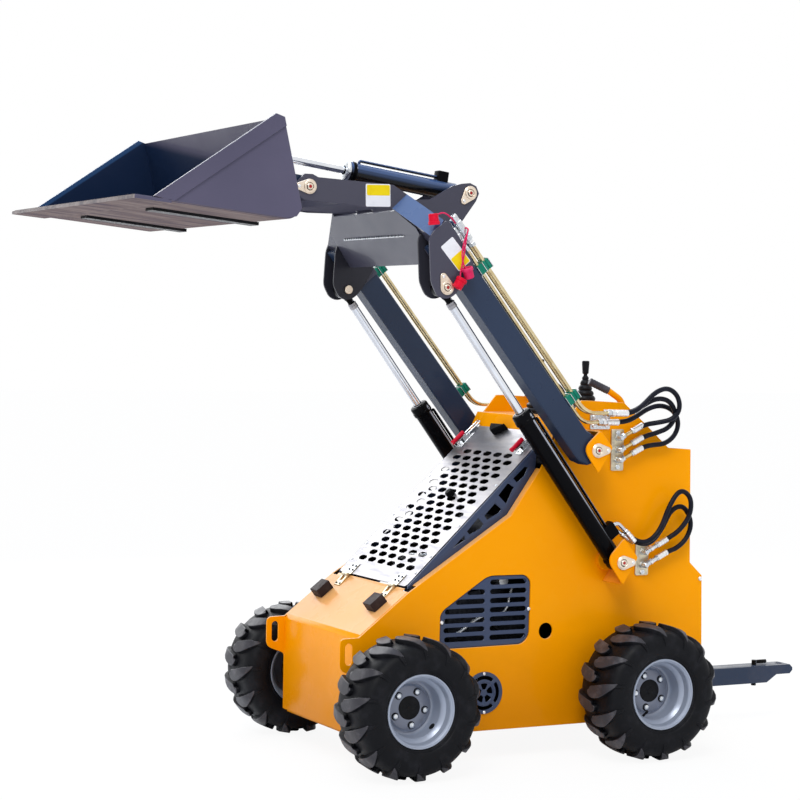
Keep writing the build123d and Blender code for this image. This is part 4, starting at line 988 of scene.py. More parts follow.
# %% Rims, bolts, hub caps and valves
for wheel, (side, axle) in WHEELS.items():
    out = (side, 0, 0)
    hub = np.array([side * (WHEEL_X + DISC_FACE), axle, AXLE_Z])
    parts = [(turned(RIM_SECTION, (side * WHEEL_X, axle, AXLE_Z), out, 96), rim_paint),
             (turned(CAP, hub, out, 48), hub_black)]
    for k in range(BOLTS):
        angle = math.radians(FIRST_BOLT[wheel] + 360.0 / BOLTS * k)
        spot = hub + BOLT_CIRCLE * np.array([0.0, math.cos(angle), math.sin(angle)])
        parts.append((turned(WASHER, spot, out, 28), hub_black))
        parts.append((turned(HEAD, spot + (side * 1.4, 0, 0), out, 24), bright_zinc))
    angle = math.radians(FIRST_BOLT[wheel] - (103.0 if "front" in wheel else 159.0))
    spoke = np.array([0.0, math.cos(angle), math.sin(angle)])
    stem = np.array([side * (WHEEL_X + 36.0), axle, AXLE_Z]) + 91.0 * spoke
    if "front" in wheel:
        parts.append((turned(VALVE_HOLE, stem, -spoke, 24), hub_black))
    else:
        parts.append((turned(VALVE, stem, (side * 0.55, 0.0, 0.0) - 0.84 * spoke, 18), hub_black))
    piece("rim_dish_" + wheel, parts, "wheel_" + wheel, ["rim_" + wheel], 24.0)
print("four rims with", len(WHEELS) * BOLTS, "bolts")

# %% [markdown]
# ## The perforated hood lid
#
# The lid is one stainless sheet with eighteen rows of oval holes, six and five in turn. Cutting holes
# with a boolean is slow and leaves ragged faces. A flat outline with holes in it can be filled with
# triangles directly, and its walls are rings between two copies of the outlines.

# %% The lid's holes and sheet
LID_FOOT = np.array([0.0, -366.0, 586.0])
LID_UP = np.array([0.0, 0.72537, 0.68836])
LID_OUT = np.array([0.0, -0.68836, 0.72537])
LID_LENGTH, LID_HALF = 727.9, 248.0


def on_lid(x, run, out=0.0):
    """A point of the closed lid: x across, run up along the sheet, out above its upper face."""
    return LID_FOOT + np.array([x, 0.0, 0.0]) + run * LID_UP + out * LID_OUT


HEXAGON = np.array([(29, 0), (16, 10.5), (-16, 10.5), (-29, 0), (-16, -10.5), (16, -10.5)], float)
HOLE_PITCH, ROW_PITCH, FIRST_ROW, ROWS = 70.4, 31.1, 75.7, 18
lid_holes = []
for row in range(ROWS):
    count = 6 - row % 2
    for k in range(count):
        middle = np.array([(k - (count - 1) / 2) * HOLE_PITCH, FIRST_ROW + row * ROW_PITCH])
        lid_holes.append(rounded(middle + HEXAGON, 4.0, 4))
lid_edge = rounded(rectangle(-LID_HALF, LID_HALF, 0, LID_LENGTH), 14.0)
print(len(lid_holes), "holes in the lid")

# %% The lid with its screws, knob and hinge leaves
HINGE_X = 172.0
LID_SCREW = [(0, 0), (0, 5.2), (1.6, 4.6), (2.6, 2.6), (2.8, 0)]
KNOB = [(0, 0), (0, 15), (17, 14.4), (20, 12), (20, 0)]


def lid_sheet(outline, low, high, edge):
    """A flat sheet that lies on the lid, between two heights over its upper face."""
    return sheet_cut([outline], LID_FOOT, (1, 0, 0), LID_UP, low, high, edge)


lid_parts = [(sheet_cut([lid_edge] + lid_holes, LID_FOOT, (1, 0, 0), LID_UP, -3.0, 0.0, 0.5), stainless)]
for run in (60, 136, 279, 470):
    for x in (-236, 236):
        lid_parts.append((turned(LID_SCREW, on_lid(x, run), LID_OUT, 16), bright_zinc))
lid_parts.append((turned(KNOB, on_lid(17, 401), LID_OUT, 28), dull_black))
for x in (-HINGE_X, HINGE_X):
    leaf = rounded(rectangle(x - 22, x + 22, 4, 46), 3.0)
    lid_parts.append((lid_sheet(leaf, 0.0, 3.0, 0.6), bright_zinc))
piece("perforated_hood_lid", lid_parts, "hood", ["hood_lid"])
print("parts on the lid:", len(lid_parts) - 1)

# %% [markdown]
# ## Small turned parts
#
# Nuts, bolt heads, hose sleeves and keepers come back all over the machine. Each is a short profile
# turned about an axis: a nut is the same thing with six sides. We write them once, as shells in
# millimetres, and use them wherever something is screwed, plugged or pinned.

# %% Nuts, bolts, sleeves


def nut(base, direction, across, thick):
    """A six-sided prism with broken edges, thick millimetres along direction."""
    r = across / 2
    return turned([(0, 0), (0, r - 0.8), (0.8, r), (thick - 0.8, r), (thick, r - 0.8), (thick, 0)], base,
                  direction, 6)


def round_bolt(base, direction, radius, tall):
    """A domed round head: radius times the cosine of an arc over its height."""
    arc = np.linspace(0.0, np.pi / 2, 6)
    dome = np.stack([tall * (0.35 + 0.65 * np.sin(arc)), radius * np.cos(arc)], -1)
    return turned(np.concatenate([[(0, 0), (0, radius)], dome]), base, direction, 20)


def hose_sleeve(base, direction, length=46.0, radius=10.9):
    """A crimped sleeve: a tube with three shallow grooves and broken ends."""
    rings = [(0, 0), (0, radius - 1.4), (1.6, radius)]
    for k in (0.28, 0.5, 0.72):
        middle = length * k
        rings += [(middle - 1.6, radius), (middle - 0.9, radius - 0.8), (middle + 0.9, radius - 0.8),
                  (middle + 1.6, radius)]
    rings += [(length - 2.0, radius), (length, radius - 1.8), (length, 0)]
    return turned(rings, base, direction, 28)


print("a sleeve has", len(hose_sleeve((0, 0, 0), (1, 0, 0))[1][0]), "faces")

# %% Pins with their teardrop keepers
TAIL_APART = 37.0


def teardrop(y, z, turn_degrees, r=24.0, tail_r=11.5):
    """Outline round two circles, r at the pin and tail_r at the tail: both arcs end where the common
    tangents touch, at the angle whose cosine is (r - tail_r) / TAIL_APART."""
    lean = math.acos((r - tail_r) / TAIL_APART)
    big, small = np.linspace(lean, 2 * np.pi - lean, 28), np.linspace(-lean, lean, 12)
    u = np.concatenate([r * np.cos(big), TAIL_APART + tail_r * np.cos(small)])
    v = np.concatenate([r * np.sin(big), tail_r * np.sin(small)])
    c, s = math.cos(math.radians(turn_degrees)), math.sin(math.radians(turn_degrees))
    return np.stack([y + u * c - v * s, z + u * s + v * c], -1)


def pinned_keeper(pin, x, side, turn_degrees, inner):
    """A pin from the x value inner outwards, its teardrop keeper with the outer face at x, a raised
    collar, a dark groove, the pin's face with its red centre, and the bolt in the keeper's tail."""
    out = (side, 0, 0)
    y, z = pin
    face = (side * x, y, z)
    turn_to = math.radians(turn_degrees)
    tail = (side * x, y + TAIL_APART * math.cos(turn_to), z + TAIL_APART * math.sin(turn_to))
    return [(side_sheet([teardrop(y, z, turn_degrees)], x - 5.0, x, side, 1.0), keeper_zinc),
            (bar((side * inner, y, z), (side * (x - 1.0), y, z), PIN_R, 32), dark_metal),
            (turned([(0, 12.6), (0, 20.5), (1.6, 20.5), (2.6, 19.5), (2.6, 13.4), (1.8, 12.6)], face, out, 36,
                    closed=True), keeper_zinc),
            (turned([(0, 0), (0, 12.6), (0.8, 12.6), (0.8, 0)], face, out, 32), dark_metal),
            (turned([(0, 0), (0, 10.4), (3.0, 10.4), (4.0, 9.2), (4.0, 5.6), (3.0, 5.0), (3.0, 0)], face, out,
                    32), keeper_zinc),
            (turned([(2.6, 0), (2.6, 5.2), (4.4, 4.4), (4.6, 0)], face, out, 20), red_centre),
            (turned([(0, 0), (0, 5.6), (2.0, 5.2), (3.0, 3.6), (3.0, 0)], tail, out, 20), sleeve_white)]


PIN_R, PIN_BORE = 15.0, 15.2
print("the keeper's outline has", len(teardrop(0, 0, 0)), "points")

# %% Pin ends on the body, the arms and the boom
ARM_PIN, LIFT_BASE, LIFT_TOP = (262.0, 1033.0), (370.0, 656.0), (-317.0, 1559.0)
BUCKET_PIN, TILT_BASE, TILT_TOP = (-723.0, 1871.0), (-50.0, 1888.0), (-770.0, 1984.0)
for side, name in SIDES:
    parts = pinned_keeper(ARM_PIN, 414, side, 0, 278) + pinned_keeper(LIFT_BASE, 414, side, 0, 278)
    piece("tower_pins_" + name, parts, "chassis", ["pivot_pins"])
    parts = pinned_keeper(BUCKET_PIN, 230, side, 180, 188) + pinned_keeper(TILT_BASE, 69, side, 228, 0)
    parts += pinned_keeper(LIFT_TOP, 408.3, side, 112, 395)
    parts.append((bar((side * 309.0, *LIFT_TOP), (side * 325.0, *LIFT_TOP), PIN_R, 32), keeper_zinc))
    piece("arm_pins_" + name, parts, "arms", ["arm_pins"])
print("pins:", 5, "on each side")

# %% [markdown]
# ## Brackets on the tower
#
# Each pin on the tower sits in a kite-shaped plate, which a web joins to the body along one edge, and in
# a boss on the body's side. Plate and web could be one bent sheet. Two flat sheets meet as closely and
# need only the plate's outline, because the web follows one of its edges.

# %% Brackets round the pins on the tower
BODY_HALF = 292.0
ARM_BRACKET = [(271, 1099), (207, 1040), (266, 957), (321, 1043)]
LIFT_BRACKET = [(374, 737), (309, 668), (372, 581), (430, 672)]
BOSS = [(0, PIN_BORE), (0, 33), (1, 34), (17, 34), (18, 33), (18, PIN_BORE)]
for side, name in SIDES:
    parts = []
    for outline, pin, first, last in ((ARM_BRACKET, ARM_PIN, 0, 3), (LIFT_BRACKET, LIFT_BASE, 3, 2)):
        plate = rounded(outline, [8.0, 34.0, 8.0, 8.0], 9)
        parts.append((side_sheet([plate, circle(*pin, PIN_BORE)], 401.0, 409.0, side, 1.0), body_paint))
        p, q = np.array(outline[first], float), np.array(outline[last], float)
        normal = unit(np.array([(q - p)[1], -(q - p)[0]]))
        inward = normal if (np.array(pin) - p) @ normal > 0 else -normal
        web = [p, q, q + 6.0 * inward, p + 6.0 * inward]
        parts.append((side_sheet([web], BODY_HALF, 401.2, side, 0.6), body_paint))
        parts.append((turned(BOSS, (side * BODY_HALF, *pin), (side, 0, 0), 48, closed=True), body_paint))
    piece("pin_brackets_" + name, parts, "chassis", ["pivot_brackets"])
print("brackets:", 2, "on each side")

# %% [markdown]
# ## Arms
#
# Each arm is a bent box tube whose upper end stands between the two head plates that carry the boom. A
# copy of the CAD tube would serve, but its upper front corner shows past the plates on the far side. So
# the tube is cut here from its own outline, a little shorter.

# %% Arm tubes, cut off inside their head plates
ARM_BEND, ARM_ANGLE = np.array([0.0, 210.0, 1050.0]), math.radians(129.2)
ARM_UP = np.array([0.0, math.cos(ARM_ANGLE), math.sin(ARM_ANGLE)])
ARM_BACK = np.array([0.0, math.sin(ARM_ANGLE), -math.cos(ARM_ANGLE)])


def on_arm(x, up, back):
    """A point of the raised arm: x across, up along it from its bend, back towards the operator."""
    return ARM_BEND + np.array([x, 0.0, 0.0]) + up * ARM_UP + back * ARM_BACK


arm_outline = [(200, 997), (232, 984), (284, 1000), (298, 1033), (284, 1066)]
arm_outline += [tuple(on_arm(0, up, back)[1:]) for up, back in ((30, 43), (851, 43), (857, -43), (-6, -43))]
arm_loops = [arm_outline, circle(*ARM_PIN, PIN_BORE)]
tubes = [(side_sheet(arm_loops, 330.0, 395.0, side, 4.0), arm_paint) for side, _ in SIDES]
piece("arm_box_tubes", tubes, "arms", ["arm_tubes"])
print("points round an arm:", len(arm_outline))

# %% Head plates of the arms
HEAD_OUTLINE = [(-317, 1776), (-383, 1724), (-374, 1575), (-352, 1533), (-322, 1521), (-292, 1531),
                (-262, 1562), (-216, 1636), (-279, 1728)]
HEAD_REACH = [12.0, 26.0, 16.0, 18.0, 16.0, 16.0, 18.0, 14.0, 12.0]
filler = [tuple(on_arm(0, up, back)[1:]) for up, back in ((700, 43), (850, 43), (850, -43), (700, -43))]
for side, name in SIDES:
    outline = np.array(HEAD_OUTLINE, float)
    if side < 0:
        outline[1] = (-366, 1706)
    plate = [rounded(outline, HEAD_REACH, 7), circle(*LIFT_TOP, PIN_BORE)]
    # painted shade: the far outer head plate and both inner plates take the darker copy of the head paint
    parts = [(side_sheet(plate, 395.3, 403.3, side, 1.2), head_paint if side > 0 else shade_paint),
             (side_sheet(plate, 317.0, 325.0, side, 1.2), shade_paint),
             (side_sheet([filler], 325.0, 330.0, side), head_paint)]
    piece("arm_head_plates_" + name, parts, "arms", ["arm_heads"])
print("points round a head plate:", len(plate[0]))

# %% Boom struts, and the weld along the cross plate with its painted highlight
STRUT_ENDS = {225.0: [(-427, 1814), (-374, 1862), (-330, 1813), (-383, 1765)],
              395.2: [(-361, 1713), (-329, 1774), (-285, 1725), (-338, 1677)]}
rings = [np.array([(x, y, z) for y, z in ring], float) for x, ring in STRUT_ENDS.items()]
lids = [np.broadcast_to(ring.mean(axis=0), ring.shape) for ring in rings]
strut = skin(np.stack([lids[0], rings[0], rings[1], lids[1]]), wrap_v=True)
piece("boom_struts_boxed", [(strut, strut_paint), (mirrored(strut), strut_paint)], "arms",
      ["boom_struts"])
BEAD = [(-4.5, 0), (-3.4, 3.2), (0, 4.6), (3.4, 3.2), (4.5, 0)]
beads = [turned(BEAD, (x, -376.5, 1728.0), (1, 0, 0), 10)
         for x in np.concatenate([np.arange(-226, 90, 17.0), np.arange(96, 216, 24.0)])]
# the weld along the fold: its beads are bright zinc and its seam is white, painted highlights of the fold
weld_seam_and_highlight = bar((-228, -376, 1726), (214, -376, 1726), 1.8, 10)
piece("cross_plate_weld_and_highlight", [(weld_seam_and_highlight, sleeve_white)] + [(bead, bright_zinc) for bead in beads], "arms")
print("beads on the cross plate:", len(beads))

# %% [markdown]
# ## Ports, sleeves and couplings
#
# Every hose ends in a crimped white sleeve, a hexagon nut and a short pipe or an adapter. They are
# small, but they are the bright sparks of this machine, so they get real shapes: pipes are rings swept
# along bent lines, and sleeves follow the direction of the hose's first points.

# %% One port with its fittings
PORT_GROUPS = [((386.0, 436.0, 957.0, 1098.0), ("upper_a", "upper_b", "upper_c")),
               ((493.0, 546.0, 597.0, 710.0), ("lower_d", "lower_e"))]
ADAPTER = [(7, 0), (7, 10.0), (24, 10.0), (25, 9), (31, 9), (33, 7), (33, 0)]


def port_fitting(side, port, piped):
    """A nut and an adapter standing out of the plate, a nut, a short pipe or a second nut along
    PORT_WAY, and the sleeve over the hose's end."""
    out = np.array([side, 0.0, 0.0])
    foot = np.array([side * (BODY_HALF + 5.5), *port])
    tip = port_tip(port) * (side, 1.0, 1.0)
    mid = tip - PIPE_RUN * PORT_WAY
    made = [(nut(foot, out, 25.0, 8.0), bright_zinc), (turned(ADAPTER, foot, out, 24), bright_zinc),
            (nut(mid + 7.0 * PORT_WAY, PORT_WAY, 21.0, 10.0), bright_zinc)]
    if piped:
        made.append((bar(mid, tip + 6.0 * PORT_WAY, 6.4, 16), gold_zinc))
    else:
        made.append((bar(mid, tip + 6.0 * PORT_WAY, 8.2, 16), bright_zinc))
        made.append((nut(mid + 21.0 * PORT_WAY, PORT_WAY, 22.0, 9.0), sleeve_white))
    made.append((nut(tip - 5.0 * PORT_WAY, PORT_WAY, 22.0, 7.0), bright_zinc))
    made.append((hose_sleeve(tip + 1.5 * PORT_WAY, PORT_WAY, 44.0), sleeve_white))
    return made


print("parts of a port:", len(port_fitting(1, PORTS["upper_a"], True)))

# %% Port plates on the tower sides
for side, name in SIDES:
    parts = []
    for (y0, y1, z0, z1), labels in PORT_GROUPS:
        upper = len(labels) == 3
        outline = rounded(rectangle(y0, y1, z0, z1), 7.0)
        parts.append((side_sheet([outline], BODY_HALF, BODY_HALF + 6.0, side, 0.9), plate_zinc))
        for label in labels:
            y, z = PORTS[label]
            if side > 0 or label != "upper_c":
                parts += port_fitting(side, (y, z), upper)
            else:
                parts.append((nut((side * (BODY_HALF + 5.5), y, z), (side, 0, 0), 26.0, 12.0), dark_metal))
        for z in ((z1 - 12, z0 + 13) if upper else (z0 + 12,)):
            parts.append((nut((side * (BODY_HALF + 5.8), y, z), (side, 0, 0), 19.0, 6.0), bright_zinc))
    piece("port_plates_fitted_" + name, parts, "chassis", ["port_plates"])
    rest = rounded(rectangle(301, 380, 1098, 1152), 5.0)
    parts = [(side_sheet([rest], BODY_HALF, BODY_HALF + 4.0, side), bright_zinc)]
    for y, z in ((315, 1110), (366, 1110), (315, 1140), (366, 1140)):
        parts.append((round_bolt((side * (BODY_HALF + 4.0), y, z), (side, 0, 0), 7.0, 5.0), sleeve_white))
    piece("tube_rest_plate_" + name, parts, "chassis")
print("port groups:", len(PORT_GROUPS), "on each side")

# %% [markdown]
# ## Steel tubes up the arms
#
# Plated tubes carry the oil up the back of each arm. They are rigid, with straight runs and tight bends,
# so a smooth spline would be wrong: the corners of a straight route are eased, and a ring is swept along
# it. Clamps of stacked blocks hold them.

# %% Steel tubes up the backs of the arms


def bent_tube(points, radius, steps=9):
    """The centre line of a rigid bent steel tube: straight runs between eased corners."""
    p = np.asarray(points, float)
    return np.concatenate([p[:1], eased_corners(p[:-2], p[1:-1], p[2:], radius, steps), p[-1:]])


def coupler(reach):
    """Profile of the coupler at a tube's top, with its knurled collar, reach millimetres long."""
    return [(20, 0), (20, 11), (22, 13.4), (38, 13.4), (39, 12.2), (42, 12.2), (43, 13.4), (reach - 26, 13.4),
            (reach - 24, 11), (reach - 3, 11), (reach, 9), (reach, 7), (reach - 8, 6.4), (reach - 8, 0)]


TUBE_BACK, TUBE_TOP = 80.0, 772.0
# x, height and y of the lower end, x at the bend and at the top, distance behind the arm, coupler
TUBES = [(386.0, 1156.0, 372.0, 386.0, 386.0, TUBE_BACK, 118.0),
         (364.0, 1156.0, 372.0, 364.0, 364.0, TUBE_BACK, 104.0),
         (345.0, 1124.0, 362.0, 374.0, 385.0, 54.0, 86.0)]
BACKWARD = np.array([0.0, 1.0, 0.0])
tube_parts, fitting_parts = [], []
for side, rows in ((1, TUBES), (-1, TUBES[:2])):
    for x, z_end, y_end, bend_x, top_x, back, reach in rows:
        foot = on_arm(0, 0, back)
        corner = foot + ARM_UP * (z_end - foot[2]) / ARM_UP[2]
        top = on_arm(side * top_x, TUBE_TOP, back)
        line = bent_tube([(side * x, y_end - 56.0, z_end), (side * bend_x, corner[1], corner[2]), top], 46.0)
        tube_parts.append((swept(line, 6.2, 18), gold_zinc))
        end = np.array([side * x, y_end, z_end])
        fitting_parts += [(nut(end - 62.0 * BACKWARD, BACKWARD, 23.0, 15.0), bright_zinc),
                          (nut(end - 46.0 * BACKWARD, BACKWARD, 25.0, 12.0), sleeve_white),
                          (bar(end - 35.0 * BACKWARD, end - 20.0 * BACKWARD, 9.0, 20), bright_zinc),
                          (hose_sleeve(end - 28.0 * BACKWARD, BACKWARD, 48.0, 11.0), sleeve_white),
                          (nut(top - 4.0 * ARM_UP, ARM_UP, 23.0, 13.0), bright_zinc),
                          (bar(top + 8.0 * ARM_UP, top + 22.0 * ARM_UP, 8.5, 20), sleeve_white),
                          (turned(coupler(reach), top, ARM_UP, 28), bright_zinc)]
piece("plated_tubes", tube_parts, "arms", ["steel_tubes"], 40.0)
piece("tube_end_fittings", fitting_parts, "arms", ["tube_fittings"])
print("tubes:", len(tube_parts))

# %% Clamps on the tubes
# each layer: from and to behind the arm, from and to across it, finish, edge, half its height
LAYERS = [(43.0, 45.0, 352.0, 398.0, bright_zinc, 0.5, 18.0),
          (45.0, 65.5, 353.5, 396.5, clamp_plastic, 2.0, 17.0),
          (65.5, 67.5, 350.0, 399.0, sleeve_white, 0.5, 18.0),
          (67.5, 79.5, 353.5, 396.5, clamp_plastic, 2.0, 17.0),
          (80.3, 92.5, 353.5, 396.5, clamp_plastic, 2.0, 17.0),
          (92.5, 95.0, 352.0, 398.0, bright_zinc, 0.6, 18.0)]
clamp_parts = []
for side, _ in SIDES:
    for up in (148.0, 692.0):
        for near, far, low, high, finish, ease, half in LAYERS:
            outline = rounded(rectangle(low, high, -half, half), 3.0, 3)
            sheet = sheet_cut([outline], on_arm(0, up, 0), (1, 0, 0), ARM_UP, -far, -near, ease)
            clamp_parts.append((sheet if side > 0 else mirrored(sheet), finish))
        clamp_parts.append((nut(on_arm(side * 375.0, up, 94.5), ARM_BACK, 11.0, 5.0), bright_zinc))
piece("double_tube_clamps", clamp_parts, "arms", ["tube_clamps"])
print("parts of the clamps:", len(clamp_parts))

# %% [markdown]
# ## Hydraulic cylinders
#
# A cylinder is a gloss black barrel and a chromed rod. The rod's end is not chromed: it carries a
# ground collar, a black weld neck and a black eye. We turn each zone as its own profile on one axis,
# so that each gets its own finish.

# %% Rods with their collars and eyes


def rod_with_eye(base, top, start, radius, eye_radius, eye_half, x):
    """Chrome shaft, ground collar, black neck and eye between base and top, with length along the
    line from base to top; the eye is a short tube across it."""
    a, b = np.array([x, *base]), np.array([x, *top])
    way = unit(b - a)
    length = np.linalg.norm(b - a)
    neck = length - eye_radius - 30.0
    shaft = bar(a + start * way, a + (neck - 18.0) * way, radius, 40, 1.2)
    high, low = radius + 1.6, radius + 0.6
    collar = turned([(neck - 20, 0), (neck - 20, radius + 0.9), (neck - 19, high), (neck - 8, high),
                     (neck - 7, low), (neck - 4, low), (neck - 3, high), (neck + 1, high), (neck + 2, radius),
                     (neck + 2, 0)], a, way, 40)
    stub = turned([(neck + 1, 0), (neck + 1, radius - 1), (neck + 6, radius - 2.6), (neck + 15, radius - 2.2),
                   (neck + 24, radius + 1.2), (length - eye_radius + 6, radius + 3.0), (length - 6, 0)],
                  a, way, 36)
    eye = turned([(-eye_half, 0), (-eye_half, eye_radius - 1.5), (1.5 - eye_half, eye_radius),
                  (eye_half - 1.5, eye_radius), (eye_half, eye_radius - 1.5), (eye_half, 0)],
                 b, (1, 0, 0), 48)
    return [(shaft, chrome), (collar, stainless), (stub, black_paint), (eye, black_paint)]


LIFT_X = 360.0
for side, name in SIDES:
    piece("lift_rod_shaft_" + name, rod_with_eye(LIFT_BASE, LIFT_TOP, 475.0, 14.0, 29.0, 16.5, side * LIFT_X),
          "lift_rod_" + name + "_body", ["lift_rod_" + name])
piece("tilt_rod_shaft", rod_with_eye(TILT_BASE, TILT_TOP, 255.0, 12.5, 24.0, 15.0, 0.0), "tilt_rod_body",
      ["tilt_rod"])
print("lift line", round(math.dist(LIFT_TOP, LIFT_BASE)), "mm between its pins")

# %% Lift barrels with their eyes and steel lines
LIFT_WAY = unit([0.0, LIFT_TOP[0] - LIFT_BASE[0], LIFT_TOP[1] - LIFT_BASE[1]])
LIFT_SIDE = np.array([0.0, LIFT_WAY[2], -LIFT_WAY[1]])
BARREL = [(26, 2), (26, 26.5), (28, 28), (33, 28), (35, 30.2), (37, 31), (598, 31), (598, 15.4), (70, 15.4),
          (70, 2)]
BARREL_EYE = [(-16.5, 15.4), (-16.5, 27.5), (-15, 29), (15, 29), (16.5, 27.5), (16.5, 15.4)]
for side, name in SIDES:
    base = np.array([side * LIFT_X, *LIFT_BASE])
    run = bent_tube([base + along * LIFT_WAY + off * LIFT_SIDE
                     for along, off in ((96, 28), (96, 40), (579, 40), (579, 28))], 8.0)
    parts = [(turned(BARREL, base, LIFT_WAY, 72, closed=True), black_paint),
             (turned(BARREL_EYE, base, (1, 0, 0), 56, closed=True), black_paint),
             (swept(run, 5.0, 16), black_paint)]
    piece("lift_barrel_tube_" + name, parts, "lift_barrel_" + name + "_body",
          ["lift_barrel_" + name])
print("a barrel is", BARREL[6][0] - BARREL[0][0], "mm long")

# %% Glands, blocks and elbows on the lift barrels
GLAND = [(592, 0), (592, 33.6), (594, 34.8), (604, 34.8), (606, 33.4), (622, 33.4), (627, 31.0),
         (629.6, 24.0), (629.6, 14.4), (633.0, 16.6), (633.0, 0)]
WIPER = [(629.0, 0), (629.0, 19.0), (631.6, 18.2), (632.0, 0)]
ELBOWS = [(350.0, [(345, 762), (380, 788), (421, 751)], (0.0, 0.707, -0.707)),
          (340.0, [(338, 752), (374, 765), (416.5, 740)], (0.0, 0.862, -0.507))]
for side, name in SIDES:
    base = np.array([side * LIFT_X, *LIFT_BASE])
    foot = base + 98.0 * LIFT_WAY + 30.0 * LIFT_SIDE
    box = sheet_cut([rounded(rectangle(-17, 17, -26, 26), 5.0)], foot, (1, 0, 0), LIFT_WAY, -34.0, 8.0, 1.5)
    parts = [(turned(GLAND, base, LIFT_WAY, 56), black_paint), (turned(WIPER, base, LIFT_WAY, 40), stainless),
             (box, black_paint)]
    for x, line, aim in ELBOWS:
        elbow = bent_tube([(side * x, y, z) for y, z in line], 18.0)
        way = unit(aim)
        parts += [(swept(elbow, 7.0, 18), bright_zinc),
                  (nut(elbow[-1] - 12.0 * way, way, 21.0, 11.0), bright_zinc),
                  (hose_sleeve(elbow[-1] - 1.0 * way, way, 46.0, 10.9), sleeve_white)]
    piece("barrel_fittings_" + name, parts, "lift_barrel_" + name + "_body")
print("elbows:", len(ELBOWS), "on each barrel")

# %% Gland, ring and block on the tilt barrel
TILT_GLAND = [(412, 0), (412, 33.6), (414, 34.6), (424, 34.6), (426, 33.4), (440, 33.4), (445, 31),
              (446.6, 24), (446.6, 13), (450, 15), (450, 0)]
TILT_RING = [(436, 0), (436, 34.9), (441, 34.6), (446, 31.6), (448.4, 24.4), (448.4, 0)]
tilt_way = unit([0.0, TILT_TOP[0] - TILT_BASE[0], TILT_TOP[1] - TILT_BASE[1]])
tilt_foot = np.array([0.0, *TILT_BASE])
lump = sheet_cut([rounded(rectangle(-17, 17, -20, 20), 3.0)], tilt_foot + 84.0 * tilt_way, (1, 0, 0),
                 tilt_way, -62.0, -24.0, 1.2)
parts = [(turned(TILT_GLAND, tilt_foot, tilt_way, 56), black_paint),
         (turned(TILT_RING, tilt_foot, tilt_way, 56), bright_zinc), (lump, black_paint)]
piece("tilt_barrel_fittings", parts, "tilt_barrel_body")
print("tilt line", round(math.dist(TILT_TOP, TILT_BASE)), "mm between its pins")

# %% [markdown]
# ## Levers, bellows and hand bars
#
# Two levers stand on the console in rubber bellows, between two bent yellow hand bars with grips. A
# bellows is a cone whose radius swings in and out with height, so its profile is a straight line plus
# a wave, turned about the lever.

# %% Sections of the levers and the grips
CONSOLE_Z = 1135.0
LEVER_KNOB = [(112, 0), (112, 8.5), (126, 8.0), (127, 6.6), (146, 6.6), (147.5, 9.6), (150, 10.8),
              (165, 11.6), (182, 12.8), (189, 12.9), (191.6, 11.2), (192, 8), (192, 0)]
NECK_RING = [(134, 0), (134, 8.5), (136, 9.5), (140, 8.5), (142, 0)]
step = np.linspace(0.0, 1.0, 85)
radius = 50.0 - 42.0 * step + (8.0 - 3.5 * step) * np.abs(np.sin(step * np.pi * 7.5)) ** 0.5 - 1.5
wave = np.stack([2.0 + 134.0 * step, radius], -1)
bellows = np.concatenate([[(0, 0), (0, 56)], wave, [(138, 7), (138, 0)]])
GRIP = [(0, 0), (0, 11.6), (1.5, 13.0)]
for k in range(7):
    GRIP += [(4 + 9.5 * k, 13.0), (6 + 9.5 * k, 12.2), (8 + 9.5 * k, 12.2), (10 + 9.5 * k, 13.0)]
GRIP += [(72, 13.0), (75, 11.0), (76, 0)]
COLLAR = [(0, 0), (0, 18), (3, 18), (4, 16), (4, 0)]
print("a bellows is", bellows[-1][0], "mm high, a grip", GRIP[-1][0], "mm long")

# %% Levers and hand bars, side by side
for side, name in SIDES:
    foot = (side * 150.0, 370.0, CONSOLE_Z)
    parts = [(turned(profile, foot, (0, 0, 1), sides), black_plastic)
             for profile, sides in ((bellows, 40), (LEVER_KNOB, 32), (NECK_RING, 28))]
    piece("lever_with_bellows_" + name, parts, "chassis", ["control_levers"])
    foot = (side * 250, 458, CONSOLE_Z)
    a, b = np.array([side * 246.0, 405.0, 1226.0]), np.array([side * 226.0, 334.0, 1260.0])
    way = unit(b - a)
    line = bent_tube([foot, (side * 250, 458, 1192), a, a + 12.0 * way, b - 10.0 * way], 26.0)
    parts = [(swept(line, 11.0, 24), body_paint), (turned(GRIP, a + 2.0 * way, way, 32), grip_rubber),
             (turned(COLLAR, foot, (0, 0, 1), 28), body_paint)]
    piece("hand_bar_" + name, parts, "chassis", ["hand_bars"])
print("the hand bars end", round(float(b[2])), "mm above the floor")

# %% [markdown]
# ## Caps, straps and blank labels
#
# Red dust caps hang on pink straps from the couplers at the top of the left arm, and blank labels sit
# on the boom and the arm's head. A strap is a thin ring swept along a sagging curve; a label is a flat
# sheet a third of a millimetre thick, so that it catches its own edge of light.

# %% Caps and straps


def dust_cap(centre, direction, radius=16.5, length=36.0):
    """A cap: a ribbed cup with a wider rim, centred on its middle."""
    base = np.asarray(centre, float) - unit(direction) * length / 2
    rim = radius + 2.2
    return turned([(0, 0), (0, radius - 3), (2, radius - 0.8), (length - 11, radius), (length - 10, rim),
                   (length - 2, rim), (length, radius + 0.6), (length, radius - 4), (length - 6, radius - 5),
                   (length - 6, 0)], base, direction, 36)


